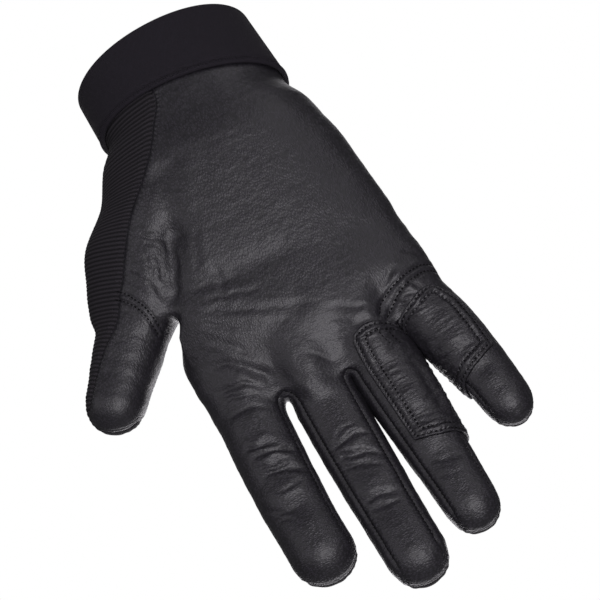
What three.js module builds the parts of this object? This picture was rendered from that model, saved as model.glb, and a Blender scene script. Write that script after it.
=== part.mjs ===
// A horse riding glove for the right hand, in the form it has when it is worn.
// The origin is the middle of the wrist opening. The fingers point down -Z, the palm faces -Y,
// the thumb is at -X and the little finger at +X. Lengths are in millimetres, angles in degrees.
import * as THREE from "three";

// Cuff
const cuffHeight = 31;
const cuffWidth = 83;
const cuffDepth = 58;
const cuffWall = 2;
const cuffMouthNarrowing = 3;
const cuffSideShift = 3;
const cuffLean = 12;
const cuffEdgeTilt = 8;
const cuffMouthTilt = 15;
const cuffEdgeRoll = -4;
const cuffMouthRoll = 4;
const cuffTuck = 5;
const cuffClearance = 0.3;

// Hand
const palmLength = 130;
const palmWidth = 101;
const palmDepth = 36;
const palmForward = 9;
const palmFullness = 2.4;
const crotchDip = 5;
const crotchDipLength = 26;
const webSag = 3;
const crotchReach = 0.42;
const forwardSettles = 0.2;
const deepestPress = 0.7;
const outermostShare = 0.97;

// Angles round the hand where the strip of its side begins: at the little finger, at the index finger,
// and at the thumb's outside. The strip ends as far behind.
const littleSideAngle = 66;
const indexSideAngle = 66;
const thumbSideAngle = 68;

// Fingers
const fingerLength = 95;
const fingerWidth = 26;
const fingerForward = 13;
const fingerFullness = 2.2;
const fingerDepthShare = 0.93;
const fingerTipLength = 13;
const fingerFirstSection = 12;
const sideSeamAngle = 58;

// Walls and seams
const leatherWall = 1.3;
const knitWall = 1.3;
const patchWall = 1.1;
const patchClearance = 0.3;
const seamGap = 0.4;

// Counts of faces across a finger's front or back, across its side, and across the knit outside the thumb
const frontFaces = 6;
const sideFaces = 4;
const thumbSideFaces = 6;
const cuffFaces = 48;

const degree = Math.PI / 180;
const wholeTurn = 360;
const halfTurn = 180;
const halfWidth = palmWidth / 2;
const halfDepth = palmDepth / 2;

function table(columns, rows) {
  return rows.map((row) => Object.fromEntries(columns.map((column, i) => [column, row[i]])));
}

// Sections of the hand, from the cuff's lower edge (at 0) to the finger roots (at 1), as shares of
// palmLength. Side edges and the lines between the fingers are shares of half the palm's width,
// depths are shares of half its depth. left runs round the thumb's root, palmLeft is the edge below it.
const handSections = table(
  [
    ...["at", "left", "palmLeft", "right", "front", "back"],
    ...["seam", "thumbLine", "indexLine", "middleLine", "ringLine"],
  ],
  [
    [0.0, -0.75, -0.75, 0.86, 1.47, 1.47, -0.24, -0.08, 0.1, 0.3, 0.51],
    [0.1, -0.88, -0.8, 0.975, 1.42, 1.36, -0.33, -0.19, 0.1, 0.36, 0.61],
    [0.2, -0.985, -0.83, 1.01, 1.39, 1.25, -0.51, -0.3, 0.1, 0.38, 0.65],
    [0.3, -1.21, -0.85, 1.085, 1.33, 1.17, -0.74, -0.4, 0.08, 0.38, 0.69],
    [0.4, -1.335, -0.86, 1.125, 1.25, 1.11, -0.91, -0.475, 0.04, 0.38, 0.71],
    [0.5, -1.4, -0.87, 1.154, 1.17, 1.06, -1.05, -0.55, -0.02, 0.37, 0.73],
    [0.6, -1.465, -0.88, 1.19, 1.08, 1.0, -1.2, -0.68, -0.08, 0.36, 0.75],
    [0.7, -1.54, -0.87, 1.23, 1.02, 0.97, -1.35, -0.84, -0.14, 0.34, 0.765],
    [0.8, -1.6, -0.845, 1.263, 0.96, 0.94, -1.4, -0.84, -0.18, 0.32, 0.78],
    [0.9, -1.6, -0.83, 1.29, 0.89, 0.89, -1.4, -0.84, -0.21, 0.31, 0.79],
    [1.0, -1.6, -0.82, 1.335, 0.83, 0.83, -1.4, -0.84, -0.22, 0.307, 0.8],
    [1.1, -1.6, -0.81, 1.43, 0.78, 0.78, -1.4, -0.84, -0.22, 0.307, 0.8],
  ],
);

// Where the thumb leaves the hand and where the fingers leave it, as shares of palmLength, at the seam
// lines met on the way round: along the front, round the little finger's side and along the back.
const thumbRoot = {
  seam: 0.52,
  front: [0.645, 0.65, 0.64, 0.63],
  ulnar: [0.62, 0.61],
  back: [0.57, 0.58, 0.59, 0.6],
  radial: 0.47,
};
const fingerRoot = { front: [0.95, 1.0, 1.03, 0.955], ulnar: [0.88, 0.86], back: [0.9, 0.94, 0.93, 0.92] };

// Rows between the cuff's edge and the thumb's root, and between the thumb's root and the fingers'
const handRowShares = [0, 0.1, 0.22, 0.34, 0.46, 0.58, 0.7, 0.8, 0.9, 1];
const palmRowShares = [0.22, 0.42, 0.62, 0.82, 1];

// Digits: length from root to tip as a share of fingerLength, sideways splay in degrees, widths at the
// root and before the tip as shares of fingerWidth, how far the tip comes forward as a share of
// fingerForward, and how far the middle bows to the side as a share of fingerWidth.
const digits = table(
  ["name", "length", "splay", "width", "tipWidth", "forward", "bow"],
  [
    ["thumb", 0.526, -33.6, 1.177, 0.962, 0.38, 0],
    ["index", 0.853, 3.8, 1.1, 1.031, 0.77, -0.065],
    ["middle", 1.0, 5.0, 1.015, 0.969, 1.0, 0.008],
    ["ring", 0.921, 6.4, 1.0, 0.885, 0.85, 0.031],
    ["little", 0.674, 14.2, 0.977, 0.788, 0.38, 0.065],
  ],
);

// Sections along a digit, as shares of its length before the tip: the width's share, the front's and
// the back's share of the depth. The dips in front are the creases at the joints.
const digitSections = table(
  ["at", "width", "front", "back"],
  [
    [0.0, 1.0, 0.98, 1.0],
    [0.16, 1.0, 1.02, 1.0],
    [0.3, 1.0, 1.04, 1.0],
    [0.42, 0.99, 0.95, 1.02],
    [0.56, 1.0, 1.03, 1.0],
    [0.7, 0.985, 0.94, 1.02],
    [0.86, 1.0, 1.02, 1.0],
    [1.0, 1.0, 1.0, 1.0],
  ],
);
const tipAngles = [25, 48, 70, 90];
const sideStripTipRows = 2;

// The thumb's seam with the knit back, as an angle round the thumb from the middle of its front
const thumbSeam = table(
  ["at", "angle"],
  [
    [0.0, 4],
    [0.25, -18],
    [0.5, -36],
    [0.75, -42],
    [1.0, -44],
  ],
);

// Long dents in the front of the hand: ends as x in shares of halfWidth and z in shares of palmLength,
// half the dent's width in millimetres, and its depth.
const folds = table(
  ["fromX", "fromAt", "toX", "toAt", "spread", "depth"],
  [
    [-0.36, 0.24, -0.5, 0.42, 5, 1.8],
    [-0.5, 0.42, -0.84, 0.68, 6, 4.2],
    [-0.6, 0.6, 0.2, 0.62, 4, 1.2],
    [-0.35, 0.84, 0.1, 0.8, 4, 1.0],
    [0.2, 0.72, 0.9, 0.66, 5, 1.0],
    [-0.5, 0.24, -0.2, 0.2, 3.5, 1.0],
  ],
);

function mix(start, end, share) {
  return start + (end - start) * share;
}

function smooth(share) {
  const held = Math.min(1, Math.max(0, share));
  return held * held * (3 - 2 * held);
}

// The value of one column of a table at a place between its rows, on a smooth curve through them
function sample(rows, column, at) {
  const last = rows.length - 1;
  let i = 0;
  while (i < last - 1 && at > rows[i + 1].at) i += 1;
  const [p, q] = [rows[i], rows[i + 1]];
  const span = q.at - p.at;
  const rise = (low, high) => (rows[high][column] - rows[low][column]) / (rows[high].at - rows[low].at);
  const startSlope = rise(Math.max(0, i - 1), i + 1) * span;
  const endSlope = rise(i, Math.min(last, i + 2)) * span;
  const t = (at - p.at) / span;
  const [t2, t3] = [t * t, t * t * t];
  return (
    (2 * t3 - 3 * t2 + 1) * p[column] +
    (t3 - 2 * t2 + t) * startSlope +
    (3 * t2 - 2 * t3) * q[column] +
    (t3 - t2) * endSlope
  );
}

// A point of a superellipse with half width 1 and half depth 1: angle 0 is the front, 90 is +X
function rounded(angle, fullness) {
  const [across, along] = [Math.sin(angle * degree), -Math.cos(angle * degree)];
  const power = 2 / fullness;
  return [Math.sign(across) * Math.abs(across) ** power, Math.sign(along) * Math.abs(along) ** power];
}

// The angle at which that superellipse reaches a share of its half width
function angleOf(share, fullness) {
  const held = Math.min(outermostShare, Math.max(-outermostShare, share));
  return Math.asin(Math.sign(held) * Math.abs(held) ** (fullness / 2)) / degree;
}

// The cuff's surface, inset from its outside: up is 0 at the lower edge and 1 at the mouth
function cuffPoint(angle, up, inset) {
  const [x, y] = rounded(angle, 2);
  const narrowing = (cuffMouthNarrowing / 2) * up;
  const across = x * (cuffWidth / 2 - narrowing - inset);
  const along = y * (cuffDepth / 2 - narrowing / 2 - inset);
  const tilt = mix(cuffEdgeTilt, cuffMouthTilt, up) * degree;
  const roll = mix(cuffEdgeRoll, cuffMouthRoll, up) * degree;
  const below = cuffHeight * (1 - up);
  return new THREE.Vector3(
    across + cuffSideShift * (1 - up),
    along - below * Math.tan(cuffLean * degree),
    -below + across * Math.tan(roll) - along * Math.tan(tilt),
  );
}

// The outline of the hand's section at a share of palmLength
function handSection(at, leftColumn) {
  const left = sample(handSections, leftColumn, at) * halfWidth;
  const right = sample(handSections, "right", at) * halfWidth;
  return {
    middle: (left + right) / 2,
    half: (right - left) / 2,
    front: sample(handSections, "front", at) * halfDepth,
    back: sample(handSections, "back", at) * halfDepth,
  };
}

function lineAngle(at, column, leftColumn) {
  const { middle, half } = handSection(at, leftColumn);
  return angleOf((sample(handSections, column, at) * halfWidth - middle) / half, palmFullness);
}

// How deep the folds press the front of the hand at a place
function foldDepth(x, at) {
  let depth = 0;
  for (const fold of folds) {
    const start = new THREE.Vector2(fold.fromX * halfWidth, fold.fromAt * palmLength);
    const run = new THREE.Vector2(fold.toX * halfWidth, fold.toAt * palmLength).sub(start);
    const place = new THREE.Vector2(x, at * palmLength).sub(start);
    const along = Math.min(1, Math.max(0, place.dot(run) / run.lengthSq()));
    const away = place.addScaledVector(run, -along).length() / fold.spread;
    depth += fold.depth * Math.exp(-away * away);
  }
  return depth;
}

// A point on the hand: angle round it, share of palmLength down it, and how deep the crotches dip there
function handPoint(angle, at, leftColumn, dip) {
  const section = handSection(at, leftColumn);
  const [x, y] = rounded(angle, palmFullness);
  const across = section.middle + section.half * x;
  const facing = y < 0 ? section.front : section.back;
  const pressed = y < 0 ? foldDepth(across, at) * Math.min(1, -2 * y) : 0;
  const inward = pressed + dip;
  const along = y * facing - Math.sign(y) * Math.min(inward, Math.abs(y * facing) * deepestPress);
  const forward = mix(cuffHeight * Math.tan(cuffLean * degree), palmForward, smooth(at / forwardSettles));
  return new THREE.Vector3(across, along - forward, -cuffHeight - at * palmLength);
}

// Values at the stops of a list, with a number of even steps between each two
function spread(stops, steps) {
  const values = [];
  for (let i = 0; i + 1 < stops.length; i += 1) {
    for (let k = 0; k < steps[i]; k += 1) values.push(mix(stops[i], stops[i + 1], k / steps[i]));
  }
  values.push(stops[stops.length - 1]);
  return values;
}

// How near a column is to a line between two fingers: 1 on the line, 0 at crotchReach finger widths
function crotchNearness(column, lines) {
  const nearest = Math.min(...lines.map((line) => Math.abs(column - line)));
  return smooth(1 - nearest / (frontFaces * crotchReach));
}

const lineColumns = ["thumbLine", "indexLine", "middleLine", "ringLine"];

// Rows of the hand from the cuff to the thumb's root. A row starts at the seam with the knit, runs over
// the thumb's root and the four finger widths, round the little finger's side, and back behind.
function makeHandRows() {
  const steps = [...Array(5).fill(frontFaces), sideFaces, ...Array(5).fill(frontFaces), thumbSideFaces];
  const ends = spread(
    [
      thumbRoot.seam,
      ...thumbRoot.front,
      ...thumbRoot.ulnar,
      ...[...thumbRoot.back].reverse(),
      thumbRoot.radial,
      thumbRoot.seam,
    ],
    steps,
  ).slice(0, -1);
  const anglesAt = (at) => {
    const front = lineColumns.map((column) => lineAngle(at, column, "left"));
    const seam = lineAngle(at, "seam", "left");
    const back = front.map((angle) => halfTurn - angle).reverse();
    const side = [littleSideAngle, halfTurn - littleSideAngle];
    const stops = [seam, ...front, ...side, ...back, halfTurn + thumbSideAngle, wholeTurn + seam];
    return spread(stops, steps).slice(0, -1);
  };
  const startAngles = anglesAt(0);
  const insideCuff = cuffWall + cuffClearance;
  const tucked = startAngles.map((angle) => cuffPoint(angle, cuffTuck / cuffHeight, insideCuff));
  const edge = startAngles.map((angle) => cuffPoint(angle, 0, insideCuff));
  const starts = edge.map((point) => (-point.z - cuffHeight) / palmLength);
  const rows = [tucked, edge];
  for (const share of handRowShares.slice(1)) {
    rows.push(
      starts.map((start, column) => {
        const at = mix(start, ends[column], share);
        const angle = anglesAt(Math.max(0, at))[column];
        const point = handPoint(angle, at, "left", 0);
        return point.lerp(edge[column].clone().setZ(point.z), 1 - smooth(share / handRowShares[2]));
      }),
    );
  }
  return rows;
}

// The strip of web between a front point and a back point, sagging towards the fingertips
function web(front, back) {
  const points = [];
  for (let k = 0; k <= sideFaces; k += 1) {
    const point = front.clone().lerp(back, k / sideFaces);
    point.z -= webSag * Math.sin((Math.PI * k) / sideFaces);
    points.push(point);
  }
  return points;
}

// Rows of the palm below the thumb: the four finger widths in front, the little finger's side,
// the four widths behind, and the index finger's side.
function makePalmRows(handRow) {
  const turn = handRow.length;
  const widths = 4 * frontFaces;
  const thumbLine = frontFaces;
  const thumbLineBehind = turn - frontFaces - thumbSideFaces;
  const thumbWeb = web(handRow[thumbLine], handRow[thumbLineBehind]);
  const first = [...handRow.slice(thumbLine, thumbLineBehind + 1), ...thumbWeb.slice(1, -1).reverse()];
  const steps = [...Array(4).fill(frontFaces), sideFaces, ...Array(4).fill(frontFaces), sideFaces];
  const ends = spread(
    [...fingerRoot.front, ...fingerRoot.ulnar, ...[...fingerRoot.back].reverse(), fingerRoot.front[0]],
    steps,
  ).slice(0, -1);
  const lines = [frontFaces, 2 * frontFaces, 3 * frontFaces];
  const linesBehind = lines.map((line) => 2 * widths + sideFaces - line);
  const starts = first.map((point) => (-point.z - cuffHeight) / palmLength);
  const rows = [first];
  for (const share of palmRowShares) {
    rows.push(
      starts.map((start, column) => {
        const at = mix(start, ends[column], share);
        const front = lineColumns.slice(1).map((name) => lineAngle(at, name, "palmLeft"));
        const back = front.map((angle) => halfTurn - angle).reverse();
        const angle = spread(
          [
            -indexSideAngle,
            ...front,
            littleSideAngle,
            halfTurn - littleSideAngle,
            ...back,
            halfTurn + indexSideAngle,
            wholeTurn - indexSideAngle,
          ],
          steps,
        )[column];
        const above = (1 - share) * (ends[column] - start) * palmLength;
        const near = crotchNearness(column, [...lines, ...linesBehind]);
        const dip = crotchDip * near * smooth(1 - above / crotchDipLength);
        const point = handPoint(angle, at, "palmLeft", dip);
        const held = first[column].clone().setZ(point.z);
        return point.lerp(held, 1 - smooth(share / palmRowShares[2]));
      }),
    );
  }
  return rows;
}

// A digit's rows: its root row, sections square to its middle line, and a rounded tip whose front and
// back meet in a seam round its end. A row runs over the front, the right side, the back, the left side.
function makeDigitRows(digit, root, seam) {
  const across = new THREE.Vector3(Math.cos(digit.splay * degree), 0, Math.sin(digit.splay * degree));
  const down = new THREE.Vector3(Math.sin(digit.splay * degree), 0, -Math.cos(digit.splay * degree));
  const leftFaces = root.length - 2 * frontFaces - sideFaces;
  const rightMiddle = root[frontFaces + sideFaces / 2];
  const middle = root[root.length - leftFaces / 2].clone().lerp(rightMiddle, 0.5);
  const length = digit.length * fingerLength;
  const centre = (share) =>
    middle
      .clone()
      .addScaledVector(down, length * share)
      .addScaledVector(across, digit.bow * fingerWidth * 4 * share * (1 - share))
      .add(new THREE.Vector3(0, -digit.forward * fingerForward * share * share, 0));
  const tipShare = 1 - fingerTipLength / length;
  const firstShare = fingerFirstSection / length;
  const anglesAt = (at) => {
    const left = seam ? sample(seam, "angle", at) : -sideSeamAngle;
    const side = [sideSeamAngle, halfTurn - sideSeamAngle];
    const stops = [left, ...side, halfTurn + sideSeamAngle, wholeTurn + left];
    return spread(stops, [frontFaces, sideFaces, frontFaces, leftFaces]).slice(0, -1);
  };
  // The two directions across the digit at a share of its length
  const crossing = (share) => {
    const step = 0.01;
    const along = centre(share + step).sub(centre(share - step)).normalize();
    const sideways = across.clone().addScaledVector(along, -across.dot(along)).normalize();
    return { along, sideways, backward: new THREE.Vector3().crossVectors(sideways, along) };
  };
  const sizesAt = (at) => {
    const half = (mix(digit.width, digit.tipWidth, at) * fingerWidth) / 2;
    const depth = half * fingerDepthShare;
    return {
      half: half * sample(digitSections, "width", at),
      front: depth * sample(digitSections, "front", at),
      back: depth * sample(digitSections, "back", at),
    };
  };
  const rows = [root];
  for (const section of digitSections) {
    const share = mix(firstShare, tipShare, section.at);
    const { sideways, backward } = crossing(share);
    const sizes = sizesAt(section.at);
    const origin = centre(share);
    rows.push(
      anglesAt(section.at).map((angle) => {
        const [x, y] = rounded(angle, fingerFullness);
        return origin
          .clone()
          .addScaledVector(sideways, x * sizes.half)
          .addScaledVector(backward, y * (y < 0 ? sizes.front : sizes.back));
      }),
    );
  }
  const { along, sideways, backward } = crossing(tipShare);
  const sizes = sizesAt(1);
  const outline = anglesAt(1).map((angle) => rounded(angle, fingerFullness));
  const closing = closingPlaces(outline);
  for (const tipAngle of tipAngles) {
    const [shrink, reach] = [Math.cos(tipAngle * degree), Math.sin(tipAngle * degree)];
    rows.push(
      outline.map(([x, y], column) => {
        const place = mix(closing[column], x, shrink);
        return centre(tipShare)
          .addScaledVector(sideways, place * sizes.half)
          .addScaledVector(backward, y * shrink * (y < 0 ? sizes.front : sizes.back))
          .addScaledVector(along, fingerTipLength * Math.sqrt(Math.max(0, 1 - place * place)) * reach);
      }),
    );
  }
  return rows;
}

// Where each column of a digit's outline ends on the seam round its tip, as a share of the half width
function closingPlaces(outline) {
  const backStart = frontFaces + sideFaces;
  const backEnd = backStart + frontFaces;
  return outline.map((point, column) => {
    if (column <= frontFaces) return (point[0] + outline[backEnd - column][0]) / 2;
    if (column < backStart) return (outline[frontFaces][0] + outline[backStart][0]) / 2;
    if (column <= backEnd) return (point[0] + outline[backEnd - column][0]) / 2;
    return (outline[0][0] + outline[backEnd][0]) / 2;
  });
}

// The glove's outer surface: welded points, and triangles that each carry the name of their panel
const points = [];
const triangles = [];
const pointNumbers = new Map();

function numberOf(point) {
  const key = point.toArray().map((value) => Math.round(value * 1e4)).join(" ");
  if (!pointNumbers.has(key)) {
    pointNumbers.set(key, points.length);
    points.push(point);
  }
  return pointNumbers.get(key);
}

// Adds the faces between the rows of a tube. panelOf gives a face's panel from its column and its row.
function addTube(tube, rows, panelOf) {
  const turn = rows[1].length;
  for (let row = 0; row + 1 < rows.length; row += 1) {
    for (let column = 0; column < turn; column += 1) {
      const next = (column + 1) % turn;
      const [a, b] = [numberOf(rows[row][column]), numberOf(rows[row][next])];
      const [c, d] = [numberOf(rows[row + 1][next]), numberOf(rows[row + 1][column])];
      const panel = panelOf(column, row);
      for (const corners of [[a, d, c], [a, c, b]]) {
        if (new Set(corners).size === 3) triangles.push({ corners, panel, tube, column, row });
      }
    }
  }
}

const handRows = makeHandRows();
const thumbRootRow = handRows[handRows.length - 1];
const palmRows = makePalmRows(thumbRootRow);
const fingerRootRow = palmRows[palmRows.length - 1];
const fingerWidths = 4 * frontFaces;

// The webs between the fingers, each from its front point to its back point
const webs = [1, 2, 3].map((line) =>
  web(fingerRootRow[line * frontFaces], fingerRootRow[2 * fingerWidths + sideFaces - line * frontFaces]),
);

function fingerRootOf(finger) {
  const front = fingerRootRow.slice(finger * frontFaces, (finger + 1) * frontFaces + 1);
  const backStart = 2 * fingerWidths + sideFaces - (finger + 1) * frontFaces;
  const back = fingerRootRow.slice(backStart, backStart + frontFaces + 1);
  const ulnar = fingerRootRow.slice(fingerWidths + 1, fingerWidths + sideFaces);
  const radial = fingerRootRow.slice(2 * fingerWidths + sideFaces + 1);
  const right = finger < 3 ? webs[finger].slice(1, -1) : ulnar;
  const left = finger > 0 ? webs[finger - 1].slice(1, -1).reverse() : radial;
  return [...front, ...right, ...back, ...left];
}

function thumbRootOf() {
  const turn = thumbRootRow.length;
  const behind = turn - frontFaces - thumbSideFaces;
  const inner = web(thumbRootRow[frontFaces], thumbRootRow[behind]).slice(1, -1);
  return [...thumbRootRow.slice(0, frontFaces + 1), ...inner, ...thumbRootRow.slice(behind)];
}

const digitRows = digits.map((digit, i) => {
  const root = i === 0 ? thumbRootOf() : fingerRootOf(i - 1);
  return makeDigitRows(digit, root, i === 0 ? thumbSeam : null);
});
const tipStart = digitSections.length + 1;

// The side of a face on a digit: front, right, back or left
function sideOf(column) {
  if (column < frontFaces) return "front";
  if (column < frontFaces + sideFaces) return "right";
  return column < 2 * frontFaces + sideFaces ? "back" : "left";
}

addTube("hand", handRows, (column) => {
  const leather = column < 5 * frontFaces + sideFaces;
  return leather ? "palm_leather" : "back_knit";
});
addTube("palm", palmRows, (column) => {
  const behind = column >= fingerWidths + sideFaces && column < 2 * fingerWidths + sideFaces;
  return behind ? "back_knit" : "palm_leather";
});
addTube("thumb", digitRows[0], (column) => {
  const leather = column < frontFaces + sideFaces;
  return leather ? "thumb_front" : "back_knit";
});
const betweenFingers = ["fourchette_index_middle", "fourchette_middle_ring", "fourchette_ring_little"];
for (let finger = 0; finger < 4; finger += 1) {
  addTube(digits[finger + 1].name, digitRows[finger + 1], (column, row) => {
    const side = sideOf(column);
    if (side === "front") return "palm_leather";
    if (side === "back") return "back_knit";
    const between = side === "left" ? finger - 1 : finger;
    if (between < 0 || between > 2) return "palm_leather";
    return row < tipStart + sideStripTipRows - 1 ? betweenFingers[between] : "back_knit";
  });
}

// The direction out of the glove at each welded point
const normals = points.map(() => new THREE.Vector3());
for (const { corners } of triangles) {
  const [a, b, c] = corners.map((corner) => points[corner]);
  const face = b.clone().sub(a).cross(c.clone().sub(a));
  for (const corner of corners) normals[corner].add(face);
}
for (const normal of normals) normal.normalize();

// Gives faces a thickness: their outside lies lift above the glove's surface, their wall is below that,
// and their open edges draw back by half a seam's gap.
function thicken(faces, lift, wall) {
  const edges = new Map();
  for (const { corners } of faces) {
    for (let k = 0; k < 3; k += 1) {
      const edge = [corners[k], corners[(k + 1) % 3]];
      edges.set(edge.join(" "), edge);
    }
  }
  const rim = [...edges.values()].filter(([a, b]) => !edges.has(`${b} ${a}`));
  const used = [...new Set(faces.flatMap(({ corners }) => corners))];
  const place = new Map(used.map((corner, i) => [corner, i]));
  const fans = new Map(rim.map(([start]) => [start, new THREE.Vector3()]));
  for (const { corners } of faces) {
    for (let k = 0; k < 3; k += 1) {
      const fan = fans.get(corners[k]);
      if (!fan) continue;
      const here = points[corners[k]];
      const sides = [1, 2].map((step) => points[corners[(k + step) % 3]].clone().sub(here).normalize());
      const angle = sides[0].angleTo(sides[1]);
      fan.addScaledVector(sides[0].add(sides[1]).normalize(), Math.sin(angle / 2));
    }
  }
  const outside = used.map((corner) => {
    const point = points[corner].clone().addScaledVector(normals[corner], lift);
    const fan = fans.get(corner);
    if (!fan) return point;
    return point.addScaledVector(fan.normalize(), seamGap / 2);
  });
  const inside = outside.map((point, i) => point.clone().addScaledVector(normals[used[i]], -wall));
  const count = used.length;
  const index = [];
  for (const { corners } of faces) {
    const [a, b, c] = corners.map((corner) => place.get(corner));
    index.push(a, b, c, a + count, c + count, b + count);
  }
  // The edge of two neighbours is cut along the same diagonal, so their twisted edges stay parallel
  for (const [start, end] of rim) {
    const [a, b] = [place.get(start), place.get(end)];
    if (start < end) {
      index.push(b, a, b + count, a, a + count, b + count);
    } else {
      index.push(b, a, a + count, b, a + count, b + count);
    }
  }
  return solid([...outside, ...inside], index);
}

function solid(corners, index) {
  const geometry = new THREE.BufferGeometry();
  const numbers = corners.flatMap((corner) => corner.toArray());
  geometry.setAttribute("position", new THREE.Float32BufferAttribute(numbers, 3));
  geometry.setIndex(index);
  geometry.computeVertexNormals();
  return geometry;
}

// The cuff: a leaning band whose wall section is carried once round the wrist. A corner of the section
// is its place up the band and its depth in the wall, with the edges rounded a little.
function cuffBand() {
  const section = [
    [0, 0.15],
    [0.04, 0],
    [0.5, 0],
    [0.96, 0],
    [1, 0.15],
    [1, 0.85],
    [0.96, 1],
    [0.5, 1],
    [0.04, 1],
    [0, 0.85],
  ];
  const corners = [];
  for (let k = 0; k < cuffFaces; k += 1) {
    const angle = (wholeTurn * k) / cuffFaces;
    for (const [up, deep] of section) corners.push(cuffPoint(angle, up, cuffWall * deep));
  }
  const index = [];
  const turn = section.length;
  for (let k = 0; k < cuffFaces; k += 1) {
    for (let j = 0; j < turn; j += 1) {
      const [here, next] = [k * turn, ((k + 1) % cuffFaces) * turn];
      const [a, b, c, d] = [here + j, here + ((j + 1) % turn), next + ((j + 1) % turn), next + j];
      index.push(a, d, c, a, c, b);
    }
  }
  return solid(corners, index);
}

const leather = { color: 0x3f3d43, roughness: 0.55, metalness: 0 };
const patchLeather = { color: 0x38363b, roughness: 0.6, metalness: 0 };
const ribbedKnit = { color: 0x242226, roughness: 0.9, metalness: 0 };
const elasticKnit = { color: 0x211e25, roughness: 0.85, metalness: 0 };

const glove = new THREE.Group();

function addPiece(name, geometry, finish) {
  const mesh = new THREE.Mesh(geometry, new THREE.MeshStandardMaterial(finish));
  mesh.name = name;
  glove.add(mesh);
}

function addPanel(name, wall, finish) {
  addPiece(name, thicken(triangles.filter((face) => face.panel === name), 0, wall), finish);
}

addPiece("cuff_band", cuffBand(), elasticKnit);
addPanel("palm_leather", leatherWall, leather);
addPanel("back_knit", knitWall, ribbedKnit);
addPanel("thumb_front", leatherWall, leather);
for (const name of betweenFingers) addPanel(name, leatherWall, leather);

// A patch lies on the leather of one finger: chosen faces of its front, lifted clear of it
function addPatch(name, finger, covers) {
  const rootPalmRow = palmRows.length - 2;
  const block = digits.findIndex((digit) => digit.name === finger) - 1;
  const faces = triangles.filter(({ tube, column, row }) => {
    if (tube === finger) return covers(column, row);
    const onPalm = tube === "palm" && row === rootPalmRow && Math.floor(column / frontFaces) === block;
    return onPalm && covers(column - block * frontFaces, -1);
  });
  addPiece(name, thicken(faces, patchClearance + patchWall, patchWall), patchLeather);
}

const patchRows = 5;
const ringPatchStart = 2;
const ringPatchWrap = 2;
const littlePatchEnd = frontFaces - 1;
addPatch("ring_patch", "ring", (column, row) => {
  const front = column >= ringPatchStart && column < frontFaces;
  const wrapped = column >= frontFaces && column < frontFaces + ringPatchWrap && row > 0;
  return (front || wrapped) && row < patchRows;
});
addPatch("little_patch", "little", (column, row) => column < littlePatchEnd && row >= 0 && row < patchRows);

export default glove;
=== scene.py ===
"""A horse riding glove for the right hand, in the form it has when it is worn.

The fingers point down -Z, the palm faces -Y, the thumb is at -X. Lengths are in millimetres and
angles in degrees until a mesh is made.
"""

import math

import bpy
import numpy as np
from mathutils import Matrix, Vector


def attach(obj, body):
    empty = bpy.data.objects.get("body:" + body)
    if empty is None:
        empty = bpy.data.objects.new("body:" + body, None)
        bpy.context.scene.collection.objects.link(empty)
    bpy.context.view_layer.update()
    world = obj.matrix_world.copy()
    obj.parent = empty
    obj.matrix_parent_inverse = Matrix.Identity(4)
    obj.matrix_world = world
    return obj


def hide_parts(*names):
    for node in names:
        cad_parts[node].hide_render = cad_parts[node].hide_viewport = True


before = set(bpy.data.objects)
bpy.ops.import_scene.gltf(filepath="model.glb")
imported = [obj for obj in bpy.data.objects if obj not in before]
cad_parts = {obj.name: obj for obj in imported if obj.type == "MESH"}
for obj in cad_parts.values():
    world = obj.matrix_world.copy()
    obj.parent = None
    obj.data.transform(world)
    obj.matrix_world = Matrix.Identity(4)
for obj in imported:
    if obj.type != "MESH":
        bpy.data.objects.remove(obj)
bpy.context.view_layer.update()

MM = 0.001

# Sizes

CUFF_HEIGHT = 31
CUFF_WIDTH = 82.45
CUFF_DEPTH = 56.75
CUFF_WALL = 2
CUFF_MOUTH_NARROWING = 2.3
CUFF_SIDE_SHIFT = 3.55
CUFF_FULLNESS = 2.05
CUFF_LEAN = 12
CUFF_EDGE_TILT = 10.75
CUFF_MOUTH_TILT = 12.8
CUFF_EDGE_ROLL = -4.3
CUFF_MOUTH_ROLL = 3.45
CUFF_TUCK = 5
CUFF_CLEARANCE = 0.3

PALM_LENGTH = 130
HALF_WIDTH = 50.5
HALF_DEPTH = 18
PALM_FORWARD = 9
PALM_FULLNESS = 2.4
CROTCH_DIP = 5
CROTCH_DIP_LENGTH = 26
CROTCH_REACH = 0.42
WEB_SAG = 6.5
THUMB_WEB_SAG = 3

FINGER_LENGTH = 95
FINGER_WIDTH = 26
FINGER_FORWARD = 13
FINGER_FULLNESS = 2.2
FINGER_DEPTH_SHARE = 0.93
FINGER_TIP = 13
FINGER_FIRST = 12

WALL = 1.2

# Columns across a finger's front or back, across its side, across the knit outside the thumb
FRONT = 34
SIDE = 18
THUMB_SIDE = 36
# A rib of the knit takes this many rows of the surface
RIB_ROWS = 4
RIB_PITCH = 1.9
# Rows tucked up inside the cuff
TUCK_ROWS = 2 * RIB_ROWS
# Columns where the leather of the hand ends at the little finger's side, and where the back of the palm
# starts and ends
LEATHER_END = 5 * FRONT + SIDE
BACK_START = 4 * FRONT + SIDE
BACK_END = 8 * FRONT + SIDE
# Beyond this place towards the thumb the ribs fall this much for each millimetre, after a soft bend.
# They start to lean this far below the cuff's mouth, and reach the full lean over the next length.
LEAN_FROM = -24
RIB_LEAN = 0.5
LEAN_SOFT = 7
LEAN_BELOW = 40
LEAN_GROWS = 35
HAND_RIBS = 42
PALM_RIBS = 23


def table(columns, rows):
    """A table with named columns, each an array"""
    return {name: np.array(values) for name, values in zip(columns, zip(*rows))}


def records(columns, rows):
    """A table as one dictionary for each row"""
    return [dict(zip(columns, row)) for row in rows]


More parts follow.
